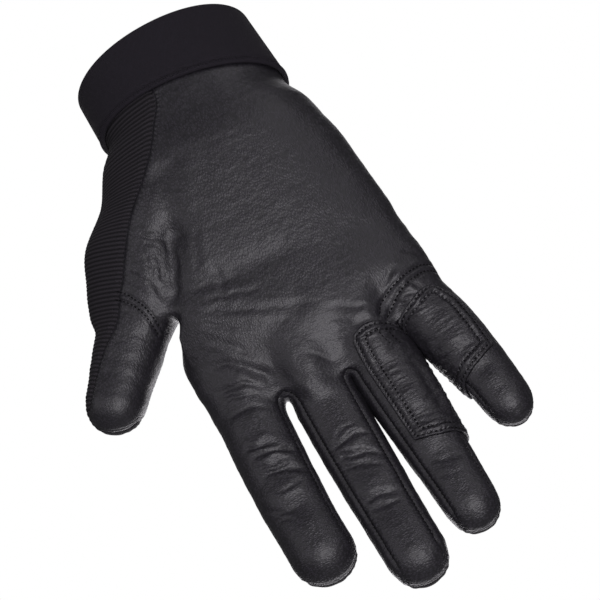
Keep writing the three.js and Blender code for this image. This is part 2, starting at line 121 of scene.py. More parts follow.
# Sections of the hand from the cuff's edge (0) to the finger roots (1), as shares of half its width
# and half its depth
HAND = table(
    [
        *("at", "left", "palm_left", "right", "front", "back"),
        *("seam", "thumb_line", "index_line", "middle_line", "ring_line"),
    ],
    [
        [0, -0.75, -0.75, 0.895, 1.47, 1.47, -0.24, -0.08, 0.1, 0.3, 0.51],
        [0.1, -0.86, -0.8, 0.94, 1.42, 1.36, -0.33, -0.19, 0.1, 0.36, 0.61],
        [0.2, -0.98, -0.83, 1.005, 1.39, 1.25, -0.51, -0.3, 0.1, 0.38, 0.65],
        [0.3, -1.22, -0.85, 1.075, 1.33, 1.17, -0.74, -0.4, 0.08, 0.38, 0.69],
        [0.4, -1.315, -0.86, 1.115, 1.25, 1.11, -0.91, -0.475, 0.04, 0.38, 0.71],
        [0.5, -1.4, -0.87, 1.155, 1.17, 1.06, -1.05, -0.55, -0.02, 0.37, 0.73],
        [0.6, -1.465, -0.87, 1.195, 1.08, 1, -1.2, -0.68, -0.08, 0.36, 0.75],
        [0.7, -1.55, -0.93, 1.24, 1.02, 0.97, -1.35, -0.84, -0.14, 0.34, 0.765],
        [0.8, -1.6, -0.87, 1.26, 0.96, 0.94, -1.4, -0.84, -0.18, 0.32, 0.78],
        [0.9, -1.6, -0.85, 1.3, 0.89, 0.89, -1.4, -0.84, -0.21, 0.31, 0.79],
        [1, -1.6, -0.815, 1.35, 0.83, 0.83, -1.4, -0.84, -0.22, 0.305, 0.8],
        [1.1, -1.6, -0.825, 1.43, 0.78, 0.78, -1.4, -0.84, -0.22, 0.305, 0.8],
    ],
)
LINES = ["thumb_line", "index_line", "middle_line", "ring_line"]
# Where the rows end at each stop round the hand and round the palm, as shares of the palm's length
HAND_ROOTS = [0.52, 0.645, 0.65, 0.64, 0.63, 0.62, 0.61, 0.6, 0.59, 0.58, 0.57, 0.47, 0.52]
PALM_ROOTS = [0.95, 1.0, 1.03, 0.955, 0.88, 0.86, 0.92, 0.93, 0.94, 0.9, 0.95]
# Share of the rows after which the section no longer keeps the form of the row they start from
SETTLE = 0.22
PALM_SETTLE = 0.62
# Share of the palm's length over which the section comes out from under the leaning cuff
LEAN_SHARE = 0.2
# Angles on the section: where the front ends at the little finger's side, and where the back ends
# behind the thumb
EDGE_ANGLE = 66
THUMB_BACK_ANGLE = 248
# A dent takes at most this share of the depth
DEEPEST = 0.7

# Digits: length, splay, widths at the root and before the tip, how far the tip comes forward, the bow
# to the side; the angles of the seams at the front's left and right edge, by how many degrees the seam
# over the tip lies to the front, and how strongly the finger joints show
DIGITS = records(
    [
        *("name", "length", "splay", "width", "tip_width", "forward", "bow"),
        *("left_seam", "right_seam", "tip_seam", "joints"),
    ],
    [
        ["thumb", 0.524, -34.3, 1.095, 0.95, 0.38, -0.02, 58, 60, 2, 0.15],
        ["index", 0.872, 4, 1.05, 1.015, 0.77, -0.065, 62, 62, -6, 1],
        ["middle", 0.992, 5.2, 1.035, 0.97, 1, -0.02, 46, 48, -6, 1],
        ["ring", 0.91, 6.5, 1.095, 0.86, 0.85, 0.01, 48, 60, -6, 1],
        ["little", 0.668, 14.2, 0.975, 0.78, 0.38, 0.07, 60, 62, -6, 1],
    ],
)
DIGIT = table(
    ["at", "width", "front", "back"],
    [
        [0, 1.01, 0.98, 1],
        [0.16, 1.015, 1.02, 1],
        [0.3, 1.015, 1.04, 1],
        [0.42, 1.005, 0.95, 1.02],
        [0.56, 1.005, 1.03, 1],
        [0.7, 0.985, 0.94, 1.02],
        [0.86, 0.98, 1.02, 1],
        [1, 0.985, 1, 1],
    ],
)
THUMB_SEAM = table(["at", "angle"], [[0.0, -20], [0.25, -28], [0.5, -34], [0.75, -38], [1.0, -40]])
# The surface over a tip is this much longer than the tip is high
TIP_ARC = 1.35
# The slope at a digit's first section is taken this share of its length further on
SLOPE_SHARE = 0.03
# Between two fingers the surface leaves the root ring flat over this share of the finger's width
FLAT_REACH = 0.36

# The surface is softened within these distances of the webs and of the rows where grids meet, by a
# share each time, less at the rows, and a number of times
WEB_SOFT = 9
JOIN_SOFT = 7
SOFTEN = 0.5
JOIN_SHARE = 0.8
SOFTEN_ROUNDS = 60

# Long dents in the front of the hand: ends as shares of half width and palm length, spread, depth
FOLDS = [
    (-0.36, 0.24, -0.5, 0.42, 5, 0.9),
    (-0.5, 0.42, -0.84, 0.68, 6, 3.6),
    (-0.6, 0.6, 0.2, 0.62, 5, 0.7),
    (-0.35, 0.84, 0.1, 0.8, 5, 0.6),
    (0.2, 0.72, 0.9, 0.66, 5, 1.0),
    (-0.5, 0.24, -0.2, 0.2, 3.5, 0.3),
]

# Creases in the leather's front: from and to (x, and how far below the cuff's mouth), how far the line
# bends aside at its middle, the crease's width and depth
CREASES = [
    # the thumb's root and the long valley between it and the palm
    (-37, 78, -26, 85, -2.5, 0.8, 0.5),
    (-38, 84, -32, 87, 1.0, 0.9, 0.35),
    (-27, 82, -36, 113, 1.2, 1.6, 0.8),
    (-36, 86, -38, 110, -2.2, 1.2, 0.35),
    (-33, 88, -36, 104, -0.7, 0.9, 0.4),
    (-31, 86, -33, 98, -0.5, 0.8, 0.3),
    (-47, 90, -41, 99, 1.2, 1.0, 0.3),
    (-50, 93, -43, 102, 0.9, 1.0, 0.3),
    (-15, 103, -17, 120, 0.8, 1.4, 0.4),
    (-16, 84, -24, 106, 1.3, 1.4, 0.4),
    # long folds that run from the thumb's crotch across the palm
    (-33, 110, -5, 114, 0.7, 1.6, 0.2),
    (-30, 114, 1, 122, -0.2, 1.2, 0.2),
    (-34, 115, 21, 137, -2.2, 1.6, 0.32),
    (-33, 121, -5, 136, -1.2, 1.5, 0.25),
    (-32, 126, -13, 144, -1.2, 1.4, 0.25),
    (-32, 134, -19, 144, -0.2, 1.2, 0.2),
    # round the index finger's root and down its front
    (-35, 139, -11, 159, 3.7, 1.8, 0.8),
    (-37, 151, -16, 158, 2.7, 1.2, 0.5),
    (-37, 156, -18, 160, 2.6, 1.0, 0.35),
    (-37, 163, -17, 166, 2.7, 1.0, 0.35),
    (-36, 178, -18, 181, 1.4, 1.3, 0.9),
    (-35, 182, -12, 186, 1.9, 1.3, 1.0),
    (-34, 187, -18, 188, 1.2, 1.0, 0.45),
    (-33, 191, -14, 194, 2.1, 1.3, 0.85),
    (-31, 198, -15, 197, -0.7, 1.0, 0.4),
    (-39, 197, -21, 207, -4.1, 1.1, 0.4),
    (-38, 203, -26, 211, -1.8, 0.9, 0.3),
    # the middle finger
    (-5, 193, 15, 191, 2.2, 1.4, 0.85),
    (-6, 197, 16, 202, 2.5, 1.2, 0.7),
    (-3, 190, 11, 186, 1.9, 0.9, 0.35),
    (-5, 201, 14, 207, 2.0, 1.0, 0.4),
    (-3, 216, 15, 218, 0.9, 1.2, 0.65),
    (-2, 220, 14, 223, 0.7, 0.9, 0.35),
    # the ring finger below its patch, and its root
    (25, 210, 44, 215, -1.6, 1.0, 0.21),
    (26, 218, 43, 221, -1.6, 1.0, 0.18),
    (13, 145, 37, 151, -1.8, 1.6, 0.42),
    (15, 138, 36, 148, 0.7, 1.2, 0.24),
    (15, 155, 25, 151, -0.2, 1.4, 0.3),
    (1, 151, 14, 162, 1.0, 1.2, 0.24),
    (-5, 156, 1, 168, 1.5, 1.2, 0.21),
    # between the two seams at the little finger's root
    (51, 141, 58, 147, -1.2, 0.9, 0.4),
    (47, 143, 54, 148, -1.4, 0.9, 0.4),
    (42, 146, 50, 150, -1.1, 0.9, 0.4),
    (62, 136, 54, 129, -1.7, 1.2, 0.4),
    (53, 134, 41, 140, -0.8, 1.2, 0.35),
]

# Double seams sewn through one piece, as flat lines of x and distance below the cuff's mouth
SEAMS = {
    "little_root_a": [(66, 138), (59, 137), (52, 139), (44, 142), (38, 146), (36, 150)],
    "little_root_b": [(66, 141), (59, 140), (53, 142), (46, 145), (41, 149), (38, 152)],
    "thumb_edge_a": [(-55, 95), (-51, 99.5), (-48.7, 103.5), (-46.8, 107), (-45.4, 112), (-44.6, 117)],
    "thumb_edge_b": [(-57, 97.8), (-52.7, 101.8), (-50.4, 105), (-48.7, 108.3), (-47.3, 113), (-46.6, 118)],
}
SEAM_LINE_WIDE = 0.8
SEAM_LINE_DEEP = 0.45
# The creases waver by this much in waves of this length, and fade over this share of their length.
# The leather swells beside a crease: how high for its depth, how far off and how wide for its width.
WAVER = 0.35
WAVER_LENGTH = 7
CREASE_FADE = 0.3
SWELL_HIGH = 0.28
SWELL_AWAY = 2.1
SWELL_WIDE = 1.1
# A crease is worked out as far as this many times its width
CREASE_MARGIN = 5

# Patches: the finger they lie on; their left and right edges at the top and bottom, as shares of the
# finger's front (below 0 on its left side, above 1 on its right side); their top and bottom edges in
# millimetres below the finger's root, at stops across; the corners of the rows of stitches, as shares of
# the width and length, where "in" lies a row's distance from the left or top edge and "out" from the
# right or bottom edge; short rows of stitches, by such shares; and a ridge where the leather stands up:
# its place across, and where it starts and ends below the patch's top
PATCHES = {
    "ring_patch": {
        "finger": "ring",
        "left": (0.2, 0.2),
        "right": (1.85, 1.85),
        "top": [(0.2, -5), (0.26, -8), (0.45, -8.2), (0.62, -6.8), (0.83, -4), (1.0, 0.4), (2.0, 0.5)],
        "bottom": [(0.2, 44), (0.58, 47.5), (1.1, 49), (2.0, 49.5)],
        "sewn": [[(0.97, "in"), ("in", "in"), ("in", "out"), (0.97, "out")]],
        "short": [[(0.25, 0.055), (0.285, 0.21)], [(0.33, 0.034), (0.36, 0.222)]],
        "ridge": (1.02, 12, 46),
    },
    "little_patch": {
        "finger": "little",
        "left": (-0.9, -0.9),
        "right": (0.97, 0.87),
        "top": [
            *((-0.9, 1.0), (-0.1, 0.4), (0.0, -0.6), (0.25, -2.0), (0.5, -2.8)),
            *((0.66, -2.5), (0.78, -1.4), (0.88, 0.9), (0.97, 4.8)),
        ],
        "bottom": [(-0.9, 41), (-0.29, 38.9), (0.17, 37), (0.46, 35.6), (0.87, 33)],
        "sewn": [[(0.03, "in"), ("out", "in"), ("out", "out"), (0.03, "out")]],
        "short": [],
        "ridge": None,
    },
}
PATCH_RISE = 1.1
PATCH_EDGE = 0.9
PATCH_STEP = 0.36
# Two rows of stitches, by their distance from the edge, sink the leather: the groove's half width, its
# depth between two stitches, and how much deeper it is under one
ROWS_IN = (1.5, 4.1)
ROW_WIDE = 0.55
ROW_DEEP = 0.2
DIMPLE_DEEP = 0.65
# Between the two rows the leather swells
SWELL_IN = 2.8
ROW_SWELL = 0.25
ROW_SWELL_WIDE = 0.7

STITCH_PITCH = 1.8
STITCH_LENGTH = 1.2
STITCH_THICK = 0.58
# Stitches in a groove lie this far below the leather round them: in a patch, on a seam line, and along
# the strips between the fingers, where they are thinner
PATCH_SUNK = 0.32
LINE_SUNK = 0.22
EDGE_SUNK = 0.38
EDGE_THICK = 0.5


# Small functions on arrays


def mix(start, end, share):
    """The value a share of the way from start to end"""
    return start + (end - start) * share


def smooth(share):
    """0 below 0, 1 above 1, and an even S between"""
    held = np.clip(share, 0, 1)
    return held * held * (3 - 2 * held)


def sine(angle):
    """The sine of an angle in degrees"""
    return np.sin(np.radians(angle))


def cosine(angle):
    """The cosine of an angle in degrees"""
    return np.cos(np.radians(angle))


def unit(vectors):
    """The same directions with length 1"""
    return vectors / np.maximum(np.linalg.norm(vectors, axis=-1, keepdims=True), 1e-9)


def bell(distance, width):
    """A bell curve: 1 at no distance, and about a third at its width"""
    return np.exp(-((distance / width) ** 2))


def cubic(start, leaving, end, arriving, t):
    """The cubic curve between two values that leaves and arrives with given slopes, t from 0 to 1"""
    return (
        (2 * t**3 - 3 * t**2 + 1) * start
        + (t**3 - 2 * t**2 + t) * leaving
        + (3 * t**2 - 2 * t**3) * end
        + (t**3 - t**2) * arriving
    )


def sample(rows, name, at):
    """A column of a table at places between its rows, on a cubic curve through them"""
    x, y = rows["at"], rows[name]
    at = np.asarray(at, float)
    i = np.clip(np.searchsorted(x, at) - 1, 0, len(x) - 2)
    low, high = np.maximum(i - 1, 0), np.minimum(i + 2, len(x) - 1)
    span = x[i + 1] - x[i]
    leaving = (y[i + 1] - y[low]) / (x[i + 1] - x[low]) * span
    arriving = (y[high] - y[i]) / (x[high] - x[i]) * span
    return cubic(y[i], leaving, y[i + 1], arriving, (at - x[i]) / span)


def rounded(angle, fullness):
    """A superellipse with half width and half depth 1: angle 0 is the front, 90 is +X"""
    across, along = sine(angle), -cosine(angle)
    power = 2 / fullness
    return np.sign(across) * np.abs(across) ** power, np.sign(along) * np.abs(along) ** power


def angle_of(share, fullness):
    """The angle at which that superellipse reaches a share of its half width"""
    held = np.clip(share, -0.97, 0.97)
    return np.degrees(np.arcsin(np.sign(held) * np.abs(held) ** (fullness / 2)))


def columns_of(counts):
    """For each column of a ring: the number of its block, and its place in that block"""
    block = np.repeat(np.arange(len(counts)), counts)
    part = np.concatenate([np.arange(count) / count for count in counts])
    return block, part


def spread(stops, counts):
    """Values for each column of a ring, even between the stops at the two ends of its block"""
    block, part = columns_of(counts)
    stops = np.array(np.broadcast_arrays(*stops), float)
    if stops.ndim == 1:
        return mix(stops[block], stops[block + 1], part)
    ring = np.arange(len(block))
    column = ring if stops.shape[-1] == len(block) else np.zeros_like(ring)
    return mix(stops[block, :, column].T, stops[block + 1, :, column].T, part)


def line_between(start, end, bend, count=9):
    """A parabola between two flat places that lies a distance aside from the straight at its middle"""
    t = np.linspace(0, 1, count)[:, None]
    run = end - start
    aside = np.array([-run[1], run[0]]) / np.linalg.norm(run)
    return start + run * t + aside * bend * 4 * t * (1 - t)


def nearest_on(line, flat):
    """Distance of flat places from a line of straight stretches, and how far along it they lie"""
    start, run = line[:-1], line[1:] - line[:-1]
    t = np.clip(((flat[:, None] - start) * run).sum(-1) / (run**2).sum(-1), 0, 1)
    gap = np.linalg.norm(flat[:, None] - start - t[..., None] * run, axis=-1)
    best = gap.argmin(1)
    each = np.arange(len(flat))
    return gap[each, best], (best + t[each, best]) / len(run)


def relief(places, length, seed, count=24):
    """A random even relief about 1 high: a sum of plane waves of about one length in all directions"""
    draw = np.random.default_rng(seed)
    direction = unit(draw.normal(size=(count, 3)))
    turns = 2 * np.pi / (length * draw.uniform(0.7, 1.4, count))
    phase = draw.uniform(0, 2 * np.pi, count)
    return np.cos(places @ (direction * turns[:, None]).T + phase).sum(1) / math.sqrt(count / 2)


def evenly(line, step):
    """Places evenly spaced along a line of straight stretches"""
    run = np.concatenate([[0], np.cumsum(np.linalg.norm(np.diff(line, axis=0), axis=1))])
    count = max(2, round(run[-1] / step) + 1)
    at = np.linspace(0, run[-1], count)
    return np.stack([np.interp(at, run, line[:, axis]) for axis in range(line.shape[1])], -1)


# The glove's surface


def cuff_point(angle, up, inset):
    """The cuff: a leaning, slightly narrowing oval band. up is 0 at its lower edge, 1 at its mouth"""
    x, y = rounded(angle, CUFF_FULLNESS)
    narrowing = CUFF_MOUTH_NARROWING / 2 * up
    across = x * (CUFF_WIDTH / 2 - narrowing - inset)
    along = y * (CUFF_DEPTH / 2 - narrowing / 2 - inset)
    tilt = np.radians(mix(CUFF_EDGE_TILT, CUFF_MOUTH_TILT, up))
    roll = np.radians(mix(CUFF_EDGE_ROLL, CUFF_MOUTH_ROLL, up))
    below = CUFF_HEIGHT * (1 - up)
    return np.stack(
        [
            across + CUFF_SIDE_SHIFT * (1 - up),
            along - below * math.tan(math.radians(CUFF_LEAN)),
            -below + across * np.tan(roll) - along * np.tan(tilt),
        ],
        -1,
    )


def hand_section(at, left_name):
    """The section's middle, half width, and depth in front and behind"""
    left = sample(HAND, left_name, at) * HALF_WIDTH
    right = sample(HAND, "right", at) * HALF_WIDTH
    front = sample(HAND, "front", at) * HALF_DEPTH
    back = sample(HAND, "back", at) * HALF_DEPTH
    return (left + right) / 2, (right - left) / 2, front, back


def line_angle(at, name, left_name):
    """The angle on the section at which a line of the table lies"""
    middle, half, _, _ = hand_section(at, left_name)
    return angle_of((sample(HAND, name, at) * HALF_WIDTH - middle) / half, PALM_FULLNESS)


def fold_depth(x, at):
    """Sum of the long dents: each is a bell curve of the distance from its line"""
    flat = np.stack([x, at * PALM_LENGTH], -1).reshape(-1, 2)
    depth = np.zeros(len(flat))
    for from_x, from_at, to_x, to_at, width, deep in FOLDS:
        line = np.array([(from_x, from_at), (to_x, to_at)]) * (HALF_WIDTH, PALM_LENGTH)
        depth += deep * bell(nearest_on(line, flat)[0], width)
    return depth.reshape(x.shape)


def hand_point(angle, at, left_name, dip):
    """The hand: a superellipse section at each share of the palm's length, pressed in by the folds"""
    middle, half, front, back = hand_section(at, left_name)
    x, y = rounded(angle, PALM_FULLNESS)
    across = middle + half * x
    facing = np.abs(y) * np.where(y < 0, front, back)
    pressed = np.where(y < 0, fold_depth(across, at) * np.minimum(1, -2 * y), 0)
    along = np.sign(y) * (facing - np.minimum(pressed + dip, facing * DEEPEST))
    lean = CUFF_HEIGHT * math.tan(math.radians(CUFF_LEAN))
    forward = mix(lean, PALM_FORWARD, smooth(at / LEAN_SHARE))
    return np.stack([across, along - forward, -CUFF_HEIGHT - at * PALM_LENGTH], -1)


def settled(rows, first, shares, settle):
    """Rows that keep the first row's flat form at its edge and come to their own form after a while"""
    held = np.concatenate([np.broadcast_to(first[:, :2], (*rows.shape[:2], 2)), rows[..., 2:]], -1)
    return mix(rows, held, 1 - smooth(shares / settle)[:, None, None])


def hand_grid(shares):
    """Rows from inside the cuff's edge to the thumb's root. Columns start at the seam with the knit, run
    over the thumb's root and four finger widths, round the little finger's side, and back behind."""
    counts = [FRONT] * 5 + [SIDE] + [FRONT] * 5 + [THUMB_SIDE]
    ends = spread(HAND_ROOTS, counts)

    def angles(at):
        front = [line_angle(at, name, "left") for name in LINES]
        seam = line_angle(at, "seam", "left")
        back = [180 - angle for angle in reversed(front)]
        side = [EDGE_ANGLE, 180 - EDGE_ANGLE]
        return spread([seam, *front, *side, *back, THUMB_BACK_ANGLE, 360 + seam], counts)

    first = angles(np.zeros((1, len(ends))))[0]
    inside = CUFF_WALL + CUFF_CLEARANCE
    edge = cuff_point(first, 0, inside)
    ups = np.linspace(CUFF_TUCK / CUFF_HEIGHT, 0, TUCK_ROWS, endpoint=False)
    tucked = cuff_point(first[None], ups[:, None], inside)
    starts = (-edge[:, 2] - CUFF_HEIGHT) / PALM_LENGTH
    at = mix(starts, ends, shares[:, None])
    rows = hand_point(angles(np.maximum(0, at)), at, "left", 0)
    return np.concatenate([tucked, settled(rows, edge, shares, SETTLE)])


def web(front, back, sag):
    """The strip between a front point and a back point, sagging towards the fingertips"""
    t = np.linspace(0, 1, SIDE + 1)[:, None]
    return mix(front, back, t) - np.array([0, 0, sag]) * np.sin(np.pi * t)


def thumb_gap(hand_row):
    """The column where the thumb's back begins, and the web between the thumb and the palm"""
    behind = len(hand_row) - FRONT - THUMB_SIDE
    return behind, web(hand_row[FRONT], hand_row[behind], THUMB_WEB_SAG)


def crotch_nearness(column, lines):
    """1 on a line between two fingers, 0 at CROTCH_REACH of a finger's width from it"""
    nearest = np.min(np.abs(column[None] - np.array(lines)[:, None]), axis=0)
    return smooth(1 - nearest / (FRONT * CROTCH_REACH))


def palm_grid(hand_row, shares):
    """Rows from the thumb's root to the fingers' roots: four widths in front, the little finger's side,
    four widths behind, the index finger's side."""
    behind, thumb_web = thumb_gap(hand_row)
    first = np.concatenate([hand_row[FRONT : behind + 1], thumb_web[1:-1][::-1]])
    counts = [FRONT] * 4 + [SIDE] + [FRONT] * 4 + [SIDE]
    ends = spread(PALM_ROOTS, counts)
    starts = (-first[:, 2] - CUFF_HEIGHT) / PALM_LENGTH
    at = mix(starts, ends, shares[:, None])
    front = [line_angle(at, name, "palm_left") for name in LINES[1:]]
    back = [180 - angle for angle in reversed(front)]
    side = [EDGE_ANGLE, 180 - EDGE_ANGLE]
    angle = spread([-EDGE_ANGLE, *front, *side, *back, 180 + EDGE_ANGLE, 360 - EDGE_ANGLE], counts)
    lines = [FRONT, 2 * FRONT, 3 * FRONT]
    lines += [BACK_END - line for line in lines]
    above = (1 - shares[:, None]) * (ends - starts) * PALM_LENGTH
    near = crotch_nearness(np.arange(len(ends)), lines)
    dip = CROTCH_DIP * near * smooth(1 - above / CROTCH_DIP_LENGTH)
    rows = settled(hand_point(angle, at, "palm_left", dip), first, shares, PALM_SETTLE)
    rows[0] = first
    return rows


def digit_frame(digit, middle):
    """The digit's middle line and its crossing directions, as functions of shares of its length"""
    across = np.array([cosine(digit["splay"]), 0, sine(digit["splay"])])
    down = np.array([sine(digit["splay"]), 0, -cosine(digit["splay"])])
    length = digit["length"] * FINGER_LENGTH

    def centre(share):
        share = np.asarray(share, float)[..., None]
        bow = digit["bow"] * FINGER_WIDTH * 4 * share * (1 - share)
        forward = digit["forward"] * FINGER_FORWARD * share * share
        return middle + down * length * share + across * bow - np.array([0, 1, 0]) * forward

    def crossing(share):
        along = unit(centre(share + 0.01) - centre(share - 0.01))
        sideways = unit(across - along * (along @ across)[..., None])
        return along, sideways, np.cross(sideways, along)

    return length, centre, crossing


def digit_tip(digit, ring, half, front, back):
    """The rounded tip of a digit whose last section is given: how far its places lie across, backward and
    forward along the digit. The front and back turn over like quarter circles and close on a line from
    side to side, and the sides lie between them."""
    x, y = ring
    back_start, back_end = FRONT + SIDE, 2 * FRONT + SIDE
    t = np.linspace(0, 1, RIB_ROWS * round(TIP_ARC * FINGER_TIP / RIB_PITCH) + 1)[:, None]
    front_columns = np.arange(FRONT + 1)
    pair = back_end - front_columns
    closing = np.empty(len(x))
    closing[: FRONT + 1] = (x[: FRONT + 1] + x[pair]) / 2
    closing[pair] = closing[: FRONT + 1]
    closing[FRONT + 1 : back_start] = closing[FRONT]
    closing[back_end + 1 :] = closing[0]
    shift = digit["tip_seam"] * t**2
    depth = np.zeros((len(t), len(x)))
    reach = np.zeros((len(t), len(x)))
    depth[:, front_columns] = y[front_columns] * front * cosine(90 * t - shift)
    reach[:, front_columns] = sine(90 * t - shift)
    turned = cosine(90 * t + shift)
    depth[:, pair] = np.where(turned > 0, y[pair] * back, -y[front_columns] * front) * turned
    reach[:, pair] = sine(90 * t + shift)
    section = y * np.where(y < 0, front, back)
    for low, high, last in ((FRONT, back_start, back_start), (back_end, len(x), 0)):
        inner = np.arange(low + 1, high)
        share = (inner - low) / (high - low)
        for values, outer in ((depth, section), (reach, 0 * section)):
            between = mix(values[:, [low]], values[:, [last]], share)
            values[:, inner] = between + (outer[inner] - between[0]) * cosine(90 * t)
    across = mix(closing, x, cosine(90 * t))
    swell = np.sqrt(np.clip(1 - across**2, 0, 1))
    return across * half, depth, FINGER_TIP * swell * reach


def digit_grid(digit, root, slope, flatness, seam, lift):
    """A digit: from its root ring, superellipse sections square to its middle line, then a rounded tip
    whose front and back meet in a seam. flatness is 1 where the surface leaves the ring sideways, as
    it does between two fingers, and 0 where it goes on in the hand's own slope. lift moves the middle
    line's start up where the webs sag. Also gives the row at which the tip starts."""
    left_count = len(root) - 2 * FRONT - SIDE
    counts = [FRONT, SIDE, FRONT, left_count]
    right_middle, left_middle = root[FRONT + SIDE // 2], root[len(root) - left_count // 2]
    middle = (right_middle + left_middle) / 2 + np.array([0, 0, lift])
    length, centre, crossing = digit_frame(digit, middle)
    tip_share, first_share = 1 - FINGER_TIP / length, FINGER_FIRST / length

    def outline(at):
        at = np.asarray(at, float)[:, None]
        left = -digit["left_seam"] if seam is None else sample(seam, "angle", at)
        right = digit["right_seam"]
        stops = [left + 0 * at, right, 180 - right, 180 + digit["left_seam"], 360 + left]
        return rounded(spread(stops, counts), FINGER_FULLNESS)

    def sizes(at):
        half = mix(digit["width"], digit["tip_width"], at) * FINGER_WIDTH / 2
        depth = half * FINGER_DEPTH_SHARE
        front = mix(1, sample(DIGIT, "front", at), digit["joints"])
        back = mix(1, sample(DIGIT, "back", at), digit["joints"])
        return half * sample(DIGIT, "width", at), depth * front, depth * back

    def sections(at):
        x, y = outline(at)
        half, front, back = (size[:, None] for size in sizes(at))
        share = mix(first_share, tip_share, at)
        _, sideways, backward = crossing(share)
        depth = np.where(y < 0, front, back)
        across = sideways[:, None] * (x * half)[..., None]
        return centre(share)[:, None] + across + backward[:, None] * (y * depth)[..., None]

    # From the root ring to the first section
    first_rows = RIB_ROWS * round(FINGER_FIRST / RIB_PITCH)
    end = sections(np.array([0.0]))[0]
    gap = np.linalg.norm(end - root, axis=-1, keepdims=True)
    arriving = unit(sections(np.array([SLOPE_SHARE]))[0] - end) * gap
    down = unit(centre(0.02) - centre(0.0))
    level = end - root - ((end - root) @ down)[:, None] * down
    leaving = mix(unit(slope), unit(level), flatness[:, None]) * gap
    t = (np.arange(first_rows) / first_rows)[:, None, None]
    root_rows = cubic(root, leaving, end, arriving, t)

    shaft_rows = RIB_ROWS * round((length - FINGER_FIRST - FINGER_TIP) / RIB_PITCH)
    shaft = sections(np.arange(shaft_rows) / shaft_rows)
    across, depth, reach = digit_tip(digit, [values[0] for values in outline([1.0])], *sizes(1.0))
    along, sideways, backward = crossing(tip_share)
    tip = (
        centre(tip_share)
        + sideways * across[..., None]
        + backward * depth[..., None]
        + along * reach[..., None]
    )
    rows = np.concatenate([root_rows, shaft, tip])
    rows[0] = root
    return rows, len(root_rows) + len(shaft)


hand_shares = np.linspace(0, 1, HAND_RIBS * RIB_ROWS + 1)
palm_shares = np.linspace(0, 1, PALM_RIBS * RIB_ROWS + 1)
hand = hand_grid(hand_shares)
palm = palm_grid(hand[-1], palm_shares)
grids = {"hand": hand, "palm": palm}
palm_slope = palm[-1] - palm[-2]
hand_slope = hand[-1] - hand[-2]
webs = [web(palm[-1][line * FRONT], palm[-1][BACK_END - line * FRONT], WEB_SAG) for line in (1, 2, 3)]


def ring_of(values, between, finger):
    """The ring round a finger's root: front, right side, back and left side"""
    back_start = BACK_END - (finger + 1) * FRONT
    right = between[finger][1:-1] if finger < 3 else values[4 * FRONT + 1 : BACK_START]
    left = between[finger - 1][1:-1][::-1] if finger > 0 else values[BACK_END + 1 :]
    front = values[finger * FRONT : (finger + 1) * FRONT + 1]
    return np.concatenate([front, right, values[back_start : back_start + FRONT + 1], left])


def flatness_of(left_web, right_web, left_count):
    """How flat the surface leaves a root ring: 1 at a web, fading to 0 over FLAT_REACH of the width"""
    reach = FRONT * FLAT_REACH
    column = np.arange(FRONT + 1)
    front = np.zeros(FRONT + 1)
    if left_web:
        front = np.maximum(front, smooth(1 - column / reach))
    if right_web:
        front = np.maximum(front, smooth(1 - (FRONT - column) / reach))
    right = np.full(SIDE - 1, float(right_web))
    left = np.full(left_count - 1, float(left_web))
    return np.concatenate([front, right, front[::-1], left])


tips = {}
behind, thumb_web = thumb_gap(hand[-1])
thumb_root = np.concatenate([hand[-1][: FRONT + 1], thumb_web[1:-1], hand[-1][behind:]])
thumb_slope = np.concatenate([hand_slope[: FRONT + 1], np.zeros((SIDE - 1, 3)), hand_slope[behind:]])
for number, digit in enumerate(DIGITS):
    if number == 0:
        flat = flatness_of(False, True, THUMB_SIDE)
        made = digit_grid(digit, thumb_root, thumb_slope, flat, THUMB_SEAM, 0)
    else:
        finger = number - 1
        flat = flatness_of(finger > 0, finger < 3, SIDE)
        no_slope = [np.zeros((SIDE + 1, 3))] * 3
        lift = (WEB_SAG - THUMB_WEB_SAG) * ((finger > 0) + (finger < 3)) / 2
        root, slope = ring_of(palm[-1], webs, finger), ring_of(palm_slope, no_slope, finger)
        made = digit_grid(digit, root, slope, flat, None, lift)
    grids[digit["name"]], tips[digit["name"]] = made


# Welding

# All grids share one list of points. Where two grids meet they have the same points.
sizes_of = {name: grid.shape[:2] for name, grid in grids.items()}
stacked = np.concatenate([grid.reshape(-1, 3) for grid in grids.values()])
_, first_seen, numbers = np.unique(np.round(stacked, 3), axis=0, return_index=True, return_inverse=True)
points = stacked[first_seen]
index = {}
offset = 0
for name, (rows, columns) in sizes_of.items():
    ring = numbers.reshape(-1)[offset : offset + rows * columns].reshape(rows, columns)
    index[name] = np.concatenate([ring, ring[:, :1]], axis=1)
    offset += rows * columns


def quads_of(numbers):
    """The faces of a grid of point numbers, wound so that they face out of the glove"""
    a, b = numbers[:-1, :-1], numbers[:-1, 1:]
    c, d = numbers[1:, 1:], numbers[1:, :-1]
    return np.stack([a, d, c, b], -1).reshape(-1, 4)


def point_normals(points, quads):
    """Outward directions: each face's cross product, added up at its corners"""
    face = np.cross(points[quads[:, 2]] - points[quads[:, 0]], points[quads[:, 3]] - points[quads[:, 1]])
    normals = np.zeros(points.shape)
    for corner in range(4):
        np.add.at(normals, quads[:, corner], face)
    return unit(normals)


all_quads = np.concatenate([quads_of(numbers) for numbers in index.values()])


def relax(points, weight, rounds):
    """Moves each point towards the mean of its neighbours, by its weight, a number of times"""
    edges = np.concatenate([all_quads[:, [0, 1]], all_quads[:, [1, 2]]])
    edges = np.unique(np.sort(edges[edges[:, 0] != edges[:, 1]], axis=1), axis=0)
    both = np.concatenate([edges, edges[:, ::-1]])
    count = np.bincount(both[:, 0], minlength=len(points))[:, None]
    for _ in range(rounds):
        total = np.stack(
            [np.bincount(both[:, 0], points[both[:, 1], axis], len(points)) for axis in range(3)], -1
        )
        points = mix(points, total / count, weight[:, None])
    return points


